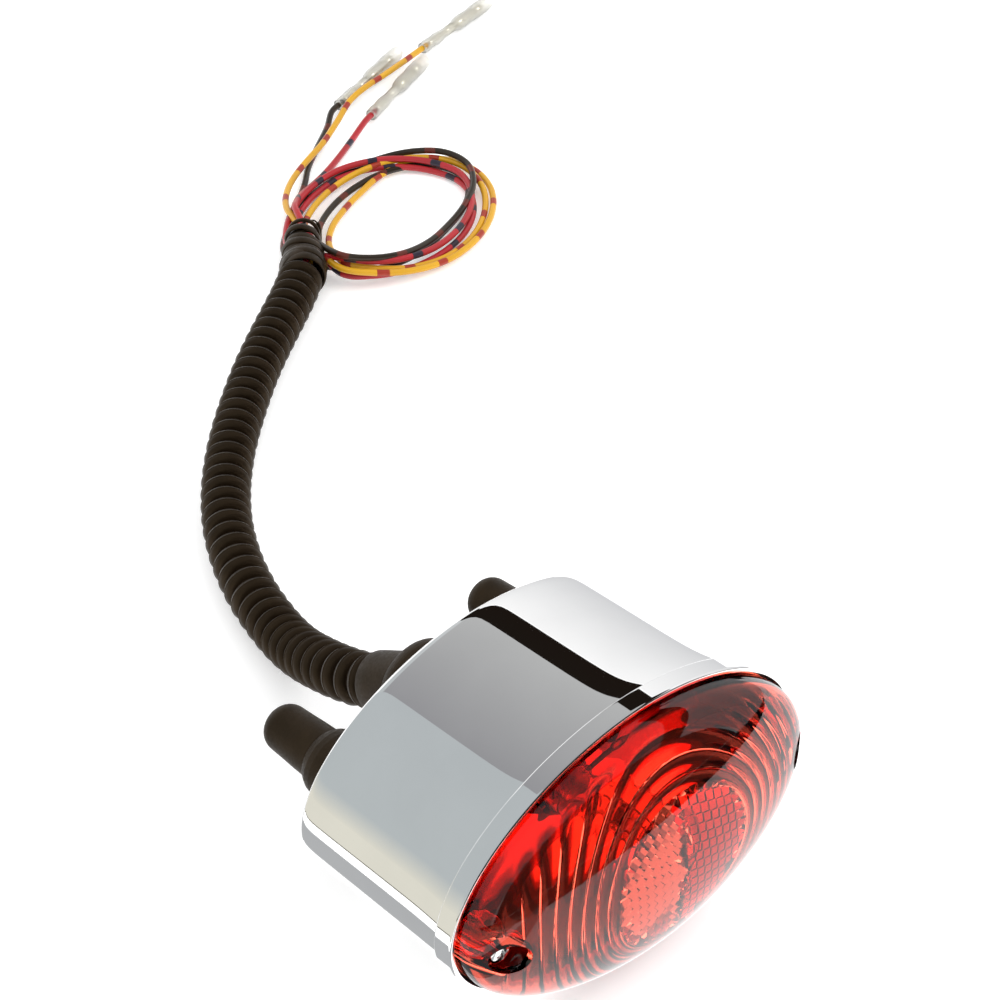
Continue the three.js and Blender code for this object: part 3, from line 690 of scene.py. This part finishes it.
def make_housing():
    lip = [(1.45, 0.0), (1.3, 0.0), *arc((0.75, 0.75), 0.75, 270, 180, 8)]
    lip += [(0, 0.9), (0, 3.2), (0, 5.7), *arc((0.45, 5.9), 0.45, 180, 90, 5)]
    lip += [(0.8, 6.35), (1.5, 6.37), (1.8, 6.45), (body_inset(6.9) + 0.12, 6.62)]
    depths = (6.9, 7.3, 7.8, 8.4, 9.2, 10, 11, 12.5, 14, 16, 19, 23, 28, 34, 42, 50, 54, 56.5, 58, 59)
    depths += (59.6, 60)
    body = [(body_inset(y), y) for y in depths]
    corner = BODY_DEPTH - BACK_BEVEL
    body += arc((body_inset(corner) + BACK_BEVEL, corner), BACK_BEVEL, 180, 90, 8)
    body += [(6, BODY_DEPTH), (20, BODY_DEPTH), (36, BODY_DEPTH)]
    shape = Shape()
    shape.stack([lip_ring(i, y) for i, y in lip + body], last="closed")
    floor = BODY_DEPTH - BACK_WALL
    inner = [(1.45, 0.0), (1.5, 0.15), (1.5, SEAT_DEPTH - 0.3), (1.8, SEAT_DEPTH)]
    inner += [(LIP_STEP + WALL - 0.3, SEAT_DEPTH), (LIP_STEP + WALL, SEAT_DEPTH + 0.3)]
    deep = LIP_STEP + BODY_DRAFT + WALL
    inner += [(deep, floor - 1.5), (deep + 0.6, floor - 0.3), (deep + 1.6, floor), (30, floor)]
    shape.stack([lip_ring(i, y) for i, y in inner], last="closed", material=1)
    for z in (-PAD_OFFSET, PAD_OFFSET):
        top = BODY_DEPTH + GAP
        pad = [(4, BODY_DEPTH - 0.5), (4, BODY_DEPTH + 0.18), (3.9, top), (3.6, top), (0.5, top)]
        shape.stack(turned_rings(pad, 0, z), first="closed", last="closed")
    for sign in SIDES.values():
        post = [(1.6, 12), (1.6, 3), (2.0, 3), (4.0, 3), (4.2, 3.2), (4.2, 20), (4.5, floor + 0.5)]
        shape.stack(turned_rings(post, sign * SCREW_X, 0, 40), first="closed", last="closed", material=1)
        post = [(1.4, 40), (1.4, 31.5), (3.8, 31.5), (4.0, 31.7), (4.2, floor + 0.5)]
        rings = turned_rings(post, sign * PLATE_SCREW_X, 0, 40)
        shape.stack(rings, first="closed", last="closed", material=1)
        web = [(sign * (SCREW_X + 3), y, z) for y in (6, floor + 0.5) for z in (-2, 2)]
        web += [(sign * (SCREW_X + 6.4), y, z) for y in (6, floor + 0.5) for z in (-2, 2)]
        faces = [(0, 1, 3, 2), (4, 6, 7, 5), (0, 4, 5, 1), (2, 3, 7, 6), (0, 2, 6, 4), (1, 5, 7, 3)]
        shape.add(web, faces, material=1, smooth=False)
    return settle("housing_shell", shape.mesh("housing_shell"), "lamp", [CHROME, CAST], ["housing"])


make_housing()


# ---- Lens ---------------------------------------------------------------------------------------

LENS_LOW, LENS_HIGH = (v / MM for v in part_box("lens"))
LENS_LENGTH, LENS_HEIGHT = LENS_HIGH.x, (LENS_HIGH.z - LENS_LOW.z) / 2
LENS_TIP, LENS_BACK = LENS_LOW.y - LIP_Y, LENS_HIGH.y - LIP_Y
LENS_SIDE, LENS_WALL = -2.0, 2.6
WELL_RADIUS, WELL_FLOOR = 4.9, -6.0
PATCH_RADIUS, RIB_PITCH_LENS, RIB_HEIGHT = 24.3, 4.0, 0.8
CUBE = 2.3  # edge of the reflex cubes
BOSS_RADIUS = 6.7
RIM_SHARES = (0.9995, 0.998, 0.995, 0.99, 0.983, 0.975, 0.966, 0.957, 0.948, 0.94)
AROUND = 480


def reach(angle, length, height):
    c, s = np.abs(np.cos(angle)), np.abs(np.sin(angle))
    return ((c / length) ** OVAL_POWER + (s / height) ** OVAL_POWER) ** (-1 / OVAL_POWER)


def share_of(x, z, length, height):
    """0 on the axis, 1 on the oval's outline."""
    total = (np.abs(x) / length) ** OVAL_POWER + (np.abs(z) / height) ** OVAL_POWER
    return np.clip(total ** (1 / OVAL_POWER), 0, 1)


def dome(x, z, inset=0.0):
    share = share_of(x, z, LENS_LENGTH - inset, LENS_HEIGHT - inset)
    return LENS_SIDE + (LENS_TIP + inset - LENS_SIDE) * np.sqrt(1 - share**2)


def inner_dome(x, z):
    """The lens's inside: rings of soft ribs round the reflex patch."""
    share = share_of(x, z, LENS_LENGTH - LENS_WALL, LENS_HEIGHT - LENS_WALL)
    part = ((np.hypot(x, z) - PATCH_RADIUS) / RIB_PITCH_LENS) % 1.0
    rib = RIB_HEIGHT * (1 - (2 * part - 1) ** 2)
    fade = np.clip((1 - share) / 0.05, 0, 1) * (np.hypot(x, z) > PATCH_RADIUS + 0.01)
    return dome(x, z, LENS_WALL) + rib * fade


def reflex_patch():
    """Corner cubes over a disc, laid one way in its left half and mirrored in its right half."""
    step = CUBE * math.sqrt(2 / 3)
    rise = CUBE / math.sqrt(3)
    points, heights = [], []
    for sign, turn in ((-1, math.radians(7)), (1, math.radians(9))):
        a = step * np.array((math.cos(turn), math.sin(turn)))
        b = step * np.array((math.cos(turn + math.pi / 3), math.sin(turn + math.pi / 3)))
        for i in range(-26, 27):
            for j in range(-26, 27):
                x, z = a * i + b * j
                if np.hypot(x, z) < PATCH_RADIUS - 0.9 and sign * x > 0.7:
                    points.append((x, z))
                    heights.append((-sign * (i - j) % 3) * rise)
    count = len(points)
    angles = np.arange(AROUND) * 2 * math.pi / AROUND
    rim = [(PATCH_RADIUS * math.cos(t), PATCH_RADIUS * math.sin(t)) for t in angles]
    split = [(0.0, z) for z in np.arange(-PATCH_RADIUS + 1.2, PATCH_RADIUS - 1, 1.1)]
    places = [Vector(p) for p in [*points, *rim, *split]]
    edges = [(count + i, count + (i + 1) % AROUND) for i in range(AROUND)]
    verts, _, faces, origins, _, _ = delaunay_2d_cdt(places, edges, [], 1, 1e-5)
    lift = [heights[o[0]] if o and o[0] < count else 0.0 for o in origins]
    result = []
    for v, h in zip(verts, lift):
        inside = math.hypot(v.x, v.y) < PATCH_RADIUS - 0.01
        base = dome(v.x * 0.985, v.y * 0.985, LENS_WALL) if inside else inner_dome(v.x, v.y)
        result.append((v.x, float(base) + h, v.y))
    return result, [tuple(f) for f in faces]


def polar_ring(share, y, length, height):
    angles = np.arange(AROUND) * 2 * math.pi / AROUND
    r = share * reach(angles, length, height)
    x, z = r * np.cos(angles), r * np.sin(angles)
    y = y(x, z) if callable(y) else np.full(AROUND, y)
    return np.column_stack([x, y, z])


def make_lens():
    shape = Shape()
    shares = np.sin(np.linspace(0.02, math.pi / 2, 56))
    rings = [polar_ring(s, dome, LENS_LENGTH, LENS_HEIGHT) for s in shares]
    rings += [polar_ring(1, y, LENS_LENGTH, LENS_HEIGHT) for y in (-1, 0, 1.2, LENS_BACK - 0.3)]
    rings += [polar_ring(1, LENS_BACK, LENS_LENGTH - 0.3, LENS_HEIGHT - 0.3)]
    length, height = LENS_LENGTH - LENS_WALL, LENS_HEIGHT - LENS_WALL
    rings += [polar_ring(1, LENS_BACK, length, height)]
    shape.stack(rings, first="closed")
    # The thick rim, in a darker copy of the red: painted shade where the dark inside shows through it.
    rings = [polar_ring(1, y, length, height) for y in (LENS_BACK, 1, LENS_SIDE)]
    rings += [polar_ring(s, inner_dome, length, height) for s in RIM_SHARES]
    shape.stack(rings, material=2)
    angles = np.arange(AROUND) * 2 * math.pi / AROUND
    edge = RIM_SHARES[-1] * reach(angles, length, height)
    rings = [rings[-1]]
    for radius in [*np.arange(length, PATCH_RADIUS, -0.4), PATCH_RADIUS]:
        r = np.maximum(np.minimum(radius, edge), PATCH_RADIUS)
        x, z = r * np.cos(angles), r * np.sin(angles)
        rings.append(np.column_stack([x, inner_dome(x, z), z]))
    shape.stack(rings)
    # The reflex patch's left half has the rim's darker red: painted shade.
    points, faces = reflex_patch()
    shape.add(points, faces)
    left = [sum(points[i][0] for i in face) < 0 for face in faces]
    shape.marks[-len(faces):] = [(2 if deep else 1, True) for deep in left]
    looks = [RED_CLEAR, REFLEX_CLEAR, PAINTED_SHADE_RED_CLEAR]
    lens = settle("lens_cover", shape.mesh("lens_cover"), "lens_cover", looks, ["lens"])

    bosses, wells = Shape(), Shape()
    turn = np.arange(72) * 2 * math.pi / 72
    for sign in SIDES.values():
        x, z = sign * SCREW_X + BOSS_RADIUS * np.cos(turn), BOSS_RADIUS * np.sin(turn)
        front = np.column_stack([x, dome(x, z) + 0.9, z])
        bosses.stack([front, np.column_stack([x, np.full(72, LENS_BACK), z])], first="closed", last="closed")
        well = [(WELL_RADIUS + 0.25, LENS_TIP - 2), (WELL_RADIUS, WELL_FLOOR)]
        well += [(2.3, WELL_FLOOR), (2.3, LENS_BACK + 1)]
        wells.stack(turned_rings(well, sign * SCREW_X, 0, 72), first="closed", last="closed")
    for operation, shape in (("UNION", bosses), ("DIFFERENCE", wells)):
        tool = bpy.data.objects.new("tool", shape.mesh("tool"))
        bpy.context.scene.collection.objects.link(tool)
        face_out(tool)
        change = lens.modifiers.new("change", "BOOLEAN")
        change.operation, change.object, change.solver = operation, tool, "EXACT"
        apply_modifiers(lens)
        bpy.data.objects.remove(tool)
    face_out(lens)


make_lens()


def turned_piece(name, profile, node, body, material, x=0.0, z=0.0, count=64):
    """A solid of revolution along the lamp's axis that stands for one node."""
    shape = Shape().stack(turned_rings(held(profile), x, z, count), first="closed", last="closed")
    return settle(name, shape.mesh(name), body, [material], [node])


def bored_piece(name, profile, node, body, material, x=0.0, z=0.0, count=64):
    """The same with a hole: the profile closes on itself."""
    shape = Shape().loop(turned_rings(held(profile, closed=True), x, z, count))
    return settle(name, shape.mesh(name), body, [material], [node])


def make_gasket():
    ring = [(3.7, 3.0), (3.6, 2.9), (2.1, 2.9), (2.0, 3.0), (2.0, 4.2), (2.1, 4.3), (3.6, 4.3), (3.7, 4.2)]
    shape = Shape().loop([lip_ring(i, y) for i, y in ring])
    return settle("gasket_ring", shape.mesh("gasket_ring"), "lamp", [RUBBER], ["lens_gasket"])


make_gasket()


def make_screw(name, node, body, material, x, radius, height, shank, seat, end):
    """A pan-head cross-recess screw: its head's rings dip into the recess."""
    turn = np.arange(96) * 2 * math.pi / 96
    rings = []
    for r in np.linspace(0.04, 1, 40) * radius:
        px, pz = r * np.cos(turn), r * np.sin(turn)
        crown = height * (0.38 + 0.62 * math.sqrt(max(0.0, 1 - (r / radius) ** 3.2)))
        arm = np.minimum(np.abs(px), np.abs(pz))
        taper = 0.13 * radius * (1.35 - r / (0.62 * radius))
        cross = np.clip((taper - arm) / (0.035 * radius) + 0.5, 0, 1)
        deep = cross * np.clip((0.6 * radius - r) / (0.05 * radius), 0, 1)
        floor = 0.55 * height * (1 - 0.5 * r / (0.6 * radius))
        rings.append(np.column_stack([x + px, seat - crown + deep * floor, pz]))
    collar = [(radius, seat - 0.1), (radius - 0.1, seat), (shank + 0.1, seat), (shank, seat + 0.2)]
    rings += turned_rings(collar, x, 0, 96)
    y = seat + 0.2
    while y < end - 1:
        rings += turned_rings([(shank, y), (shank * 0.84, y + 0.3), (shank, y + 0.6)], x, 0, 96)[1:]
        y += 0.7
    rings += turned_rings([(shank * 0.6, end)], x, 0, 96)
    shape = Shape().stack(rings, first="closed", last="closed")
    return settle(name, shape.mesh(name), body, [material], [node])


for side, sign in SIDES.items():
    make_screw(
        f"cover_screw_{side}", f"lens_screw_{side}", f"screw_{side}", CHROME,
        sign * SCREW_X, 3.6, 2.5, 2.0, WELL_FLOOR - 0.3, 18,
    )
    make_screw(
        f"dish_screw_{side}", f"plate_screw_{side}", "lamp", STEEL,
        sign * PLATE_SCREW_X, 3.2, 2.0, 1.6, 29.7, 38,
    )


# ---- Reflector, bulb ----------------------------------------------------------------------------

DISH_HOLE = 9.6


def make_reflector():
    """The pressed bright dish, with its centre hole cut through."""
    face = [(30, 30.0), (42, 26.6), (50, 24.2), (54, 23.0), (56.7, 23.0)]
    back = [(57, 23.3), (57, 23.9), (56.7, 24.2), (54, 24.2), (30, 31.2)]

    def ring(half, y):
        return lip_ring(LIP_LENGTH - half, y)

    def hole(y):
        angles = (np.arange(ROUND) + 0.5) * 2 * math.pi / ROUND
        x, z = DISH_HOLE * np.cos(angles), DISH_HOLE * np.sin(angles)
        return np.column_stack([x, np.full(ROUND, y), z])

    shape = Shape()
    rings = [hole(31.2), hole(30.0)]
    rings += [hole(30.0) * (1 - t) + ring(30, 30.0) * t for t in (0.15, 0.5, 0.9)]
    rings += [ring(h, y) for h, y in face] + [ring(h, y) for h, y in back]
    shape.loop(rings)
    return settle("dish", shape.mesh("dish"), "lamp", [PLATE], ["reflector"])


make_reflector()

BULB_CENTRE, BULB_RADIUS = 3.5, 12.5


def make_bulb():
    outer = arc((0, BULB_CENTRE), BULB_RADIUS, -88, 42, 30)
    outer += [(7.6, 14.6), (7.05, 17), (7.0, 21.2)]
    inner = arc((0, BULB_CENTRE), BULB_RADIUS - 0.6, 42, -88, 30)
    inner = [(6.4, 21.2), (6.45, 17), (7.0, 14.9), *inner]
    shape = Shape().stack(turned_rings(outer + inner, 0, 0, 72), first="closed", last="closed")
    data = shape.mesh("bulb_envelope")
    return settle("bulb_envelope", data, "bulb", [GLASS], ["bulb_glass"])


make_bulb()


# ---- Studs' collars and caps, and the boot --------------------------------------------------------

for side, sign in SIDES.items():
    x = sign * STUD_X
    collar = [(4.3, 61.8), (11.2, 61.8), (11.5, 62.1), (11.5, 66.6), (11.2, 67.0), (4.3, 67.0)]
    bored_piece(f"collar_{side}", collar, f"stud_collar_{side}", "lamp", RUBBER, x)
    # The photo shows the cap's skirt flare out where the housing starts to hide it.
    cap = [(4.3, 97), (4.3, 67.3), (10.7, 67.3), (11.0, 67.6), (10.95, 71), (10.7, 74)]
    cap += [(10.2, 76.2), (9.4, 77.8), (8.8, 78.7), (8.45, 79.0), (8.15, 79.05), (8.0, 79.3)]
    cap += [(7.95, 81), (7.8, 85), (7.5, 90), (7.3, 94.6)]
    cap += arc((1.9, 94.6), 5.4, 8, 84, 10)
    cap += [(1.9, 100), (0.4, 100)]
    turned_piece(f"cap_{side}", cap, f"stud_cap_{side}", f"cap_{side}", RUBBER, x)

BOOT_PROFILE = [
    (7, 61.8), (15.1, 61.8), (15.5, 62.2), (15.5, 64.8), (15.3, 66.4), (15.0, 70), (14.7, 76), (14.4, 81.5),
    *[(7.5 + 6.9 * math.cos(t), 81.5 + 6.6 * math.sin(t)) for t in np.radians(range(9, 89, 9))],
    (7.6, 88.3), (7.0, 88.9),
]
BOOT_NECK = [
    (-0.3, 43, 41.4), (-0.8, 50, 38.2), (-1.2, 56, 35.3), (-1.5, 59.6, 33.6), (-1.55, 60.2, 33.3),
    (-1.56, 60.3, 33.25), (-1.5, 59.4, 33.7), (-1.3, 57.4, 34.6),
]
NECK_RADII = (10.4, 10.0, 9.7, 9.5, 9.25, 8.9, 8.45, 8.4)


def make_boot():
    """The rubber dome over the wires' hole, with a neck that follows the loom down."""
    shape = Shape().loop(turned_rings(held(BOOT_PROFILE, closed=True), 0, 0, 96))
    shift = np.array((0, LIP_Y, AXIS_Z))
    way = Vector((-0.07, 0.9, -0.43)).normalized()
    across = np.array(way.cross(Vector((0, 0, 1))).normalized())
    steep = np.cross(across, way)
    turn = np.arange(72) * 2 * math.pi / 72
    spokes = np.cos(turn)[:, None] * across + np.sin(turn)[:, None] * steep
    rings = [np.array(p) - shift + r * spokes for p, r in zip(BOOT_NECK, NECK_RADII)]
    shape.stack(rings, first="closed", last="closed")
    return settle("boot", shape.mesh("boot"), "lamp", [RUBBER], ["loom_boot"])


make_boot()


# ---- The frame's own inner parts keep their shapes and get their materials ------------------------


def cladding(material, nodes, width=0.15):
    for name in nodes:
        node = bpy.data.objects[name]
        node.data.materials.clear()
        node.data.materials.append(material)
        soften = node.modifiers.new("soften", "BEVEL")
        soften.width, soften.segments, soften.limit_method = width * MM, 2, "ANGLE"
        soften.angle_limit = math.radians(35)


cladding(STEEL, ["bulb_socket", "contact_spring", "filament_tail", "filament_stop"], 0.08)
cladding(STEEL, [f"{part}_{side}" for part in ("mounting_stud", "stud_nut") for side in SIDES], 0.3)
cladding(FIBRE, ["contact_carrier"])
cladding(BRASS, ["contact_tail", "contact_stop", "bulb_base"])
cladding(SOLDER, ["bulb_contact_tail", "bulb_contact_stop"])
cladding(GLASS, ["bulb_stem"])
for wire_colour, look in WIRE_LOOKS.items():
    cladding(look, [f"inner_wire_{wire_colour}"])


# ---- Floor, light, and boards that only reflections or only what shines through glass can see -----


def glowing(name, low, high, attribute=""):
    """A material that only glows, from low to high along a value held in the mesh, or by a noise."""
    made = Nodes(name)
    made.tree.nodes.remove(made.shader)
    glow = made.node("ShaderNodeEmission")
    ramp = made.node("ShaderNodeValToRGB")
    ramp.color_ramp.elements[0].color = (*low, 1)
    ramp.color_ramp.elements[1].color = (*high, 1)
    if attribute:
        value = made.node("ShaderNodeAttribute", attribute_name=attribute).outputs["Fac"]
    else:
        value = made.noise(9.0)
    out = next(n for n in made.tree.nodes if n.type == "OUTPUT_MATERIAL")
    made.link(value, ramp.inputs["Fac"])
    made.link(ramp.outputs["Color"], glow.inputs["Color"])
    made.link(glow.outputs["Emission"], out.inputs["Surface"])
    return made.material


def stage_board(name, data, material, glossy=True, transmission=False):
    """Stages a board that neither the camera nor soft light nor shadows see."""
    data.materials.append(material)
    board = bpy.data.objects.new(name, data)
    bpy.context.scene.collection.objects.link(board)
    board.visible_camera = board.visible_diffuse = board.visible_shadow = False
    board.visible_glossy, board.visible_transmission = glossy, transmission


def card(name, start, end, low, high, low_y=-2.0, high_y=7.0, distance=3.0):
    """A board along the lamp's axis, from one angle to another above the horizon, low to high bright."""
    shape = Shape()
    angles = np.radians(np.linspace(start, end, 40))
    ys = np.linspace(low_y, high_y, 24) * 1000
    wobble = 0.012 * np.sin(ys / 900.0)
    far = distance * 1000
    rings = [np.column_stack([far * np.cos(a + wobble), ys, far * np.sin(a + wobble)]) for a in angles]
    shape.stack(rings, wrap=False)
    data = shape.mesh(name, False)
    value = data.attributes.new("share", "FLOAT", "POINT")
    value.data.foreach_set("value", np.repeat(np.linspace(0, 1, 40), 24).astype(np.float32))
    stage_board(name, data, glowing(name, low, high, "share"))


# The boards' angles were worked out from the edges of the chrome's bands in the photo.
card("white_board", -1, 39.5, (0.70, 0.705, 0.72), (1.05, 1.05, 1.05), high_y=4.5)
card("dark_board", 40, 51, (0.012, 0.008, 0.006), (0.012, 0.009, 0.007), high_y=3.3)
card("grey_board", 51, 98, (0.50, 0.505, 0.505), (0.33, 0.33, 0.345), high_y=2.75)
card("back_board", 51, 98, (0.62, 0.64, 0.65), (0.52, 0.55, 0.56), low_y=2.75, high_y=3.5)
card("blue_board", 98, 160, (0.49, 0.525, 0.54), (0.50, 0.54, 0.55))
card("cream_board", 160, 180.3, (0.50, 0.54, 0.55), (0.78, 0.76, 0.66))


def flat_card(name, corners, colour, sees_mirror):
    """A sheet lying on the floor that only mirrors, or only what shines through glass, can see."""
    (x0, y0), (x1, y1) = corners
    shape = Shape()
    ys = np.linspace(y0, y1, 12) * 1000
    rows = [np.column_stack([np.full(12, x * 1000), ys, np.full(12, -0.1)]) for x in np.linspace(x0, x1, 8)]
    shape.stack(rows, wrap=False)
    look = glowing(name, [c * 0.97 for c in colour], colour)
    stage_board(name, shape.mesh(name, False), look, sees_mirror, not sees_mirror)


flat_card("cream_floor", ((-3.0, -0.5), (-0.166, 3.0)), (0.80, 0.78, 0.68), True)
flat_card("line_floor", ((-0.166, -0.5), (-0.159, 1.0)), (0.22, 0.21, 0.17), True)
# A grey sheet just left of the lamp that only mirrors see: painted shadow of the lamp on the floor, for the
# chrome's reflection.
flat_card("painted_shadow_floor", ((-0.118, -0.4), (-0.07, 0.6)), (0.48, 0.49, 0.50), True)
flat_card("glow_floor", ((-0.25, -1.2), (1.2, -0.065)), (4.3, 4.3, 4.3), False)
flat_card("haze_floor", ((-0.06, -0.27), (1.5, -0.03)), (1.75, 1.7, 1.7), True)
flat_card("dark_floor", ((-4.0, -3.2), (4.5, -0.29)), (0.03, 0.028, 0.027), True)


def make_front_board():
    """A dark board far in front, above the horizon, that the lens's dome reflects."""
    shape = Shape()
    rows = [
        np.column_stack([np.linspace(-4000, 4500, 16), np.full(16, -3200), np.full(16, z)])
        for z in np.linspace(20, 5200, 12)
    ]
    shape.stack(rows, wrap=False)
    made = Nodes("front_board")
    made.colour(made.noise(2.0), (0.010, 0.009, 0.009), (0.016, 0.014, 0.014))
    made.rough(made.noise(5.0), 0.8, 0.95)
    stage_board("front_board", shape.mesh("front_board", False), made.material)


make_front_board()


def make_floor():
    shape = Shape()
    rings = [
        np.column_stack([r * np.cos(t), r * np.sin(t), np.full(96, -0.4)])
        for r in (50, 400, 1200, 3000, 9000)
        for t in [np.arange(96) * 2 * math.pi / 96]
    ]
    shape.stack(rings, first="closed")
    data = shape.mesh("floor", False)
    made = Nodes("floor")
    made.colour(made.noise(6.0), (0.88, 0.88, 0.88), (0.90, 0.90, 0.90))
    made.rough(made.noise(40.0), 0.8, 0.95)
    made.set(Emission_Color=(1, 1, 1, 1), Emission_Strength=0.3)
    data.materials.append(made.material)
    floor = bpy.data.objects.new("floor", data)
    bpy.context.scene.collection.objects.link(floor)


def make_light(name, place, target, size, power):
    data = bpy.data.lights.new(name, "AREA")
    data.shape, data.size, data.size_y, data.energy = "RECTANGLE", size[0], size[1], power
    lamp = bpy.data.objects.new(name, data)
    lamp.location = place
    lamp.rotation_euler = (Vector(target) - Vector(place)).to_track_quat("-Z", "Y").to_euler()
    lamp.visible_glossy = False
    bpy.context.scene.collection.objects.link(lamp)


make_floor()
make_light("soft_box", (0.9, -0.9, 1.6), (0.05, 0.1, 0.03), (1.2, 0.8), 12)
world = bpy.data.worlds.new("studio")
world.use_nodes = True
world.node_tree.nodes["Background"].inputs["Color"].default_value = (1.0, 1.0, 1.0, 1)
world.node_tree.nodes["Background"].inputs["Strength"].default_value = 1.2
bpy.context.scene.world = world
bpy.context.scene.view_settings.view_transform = "Standard"
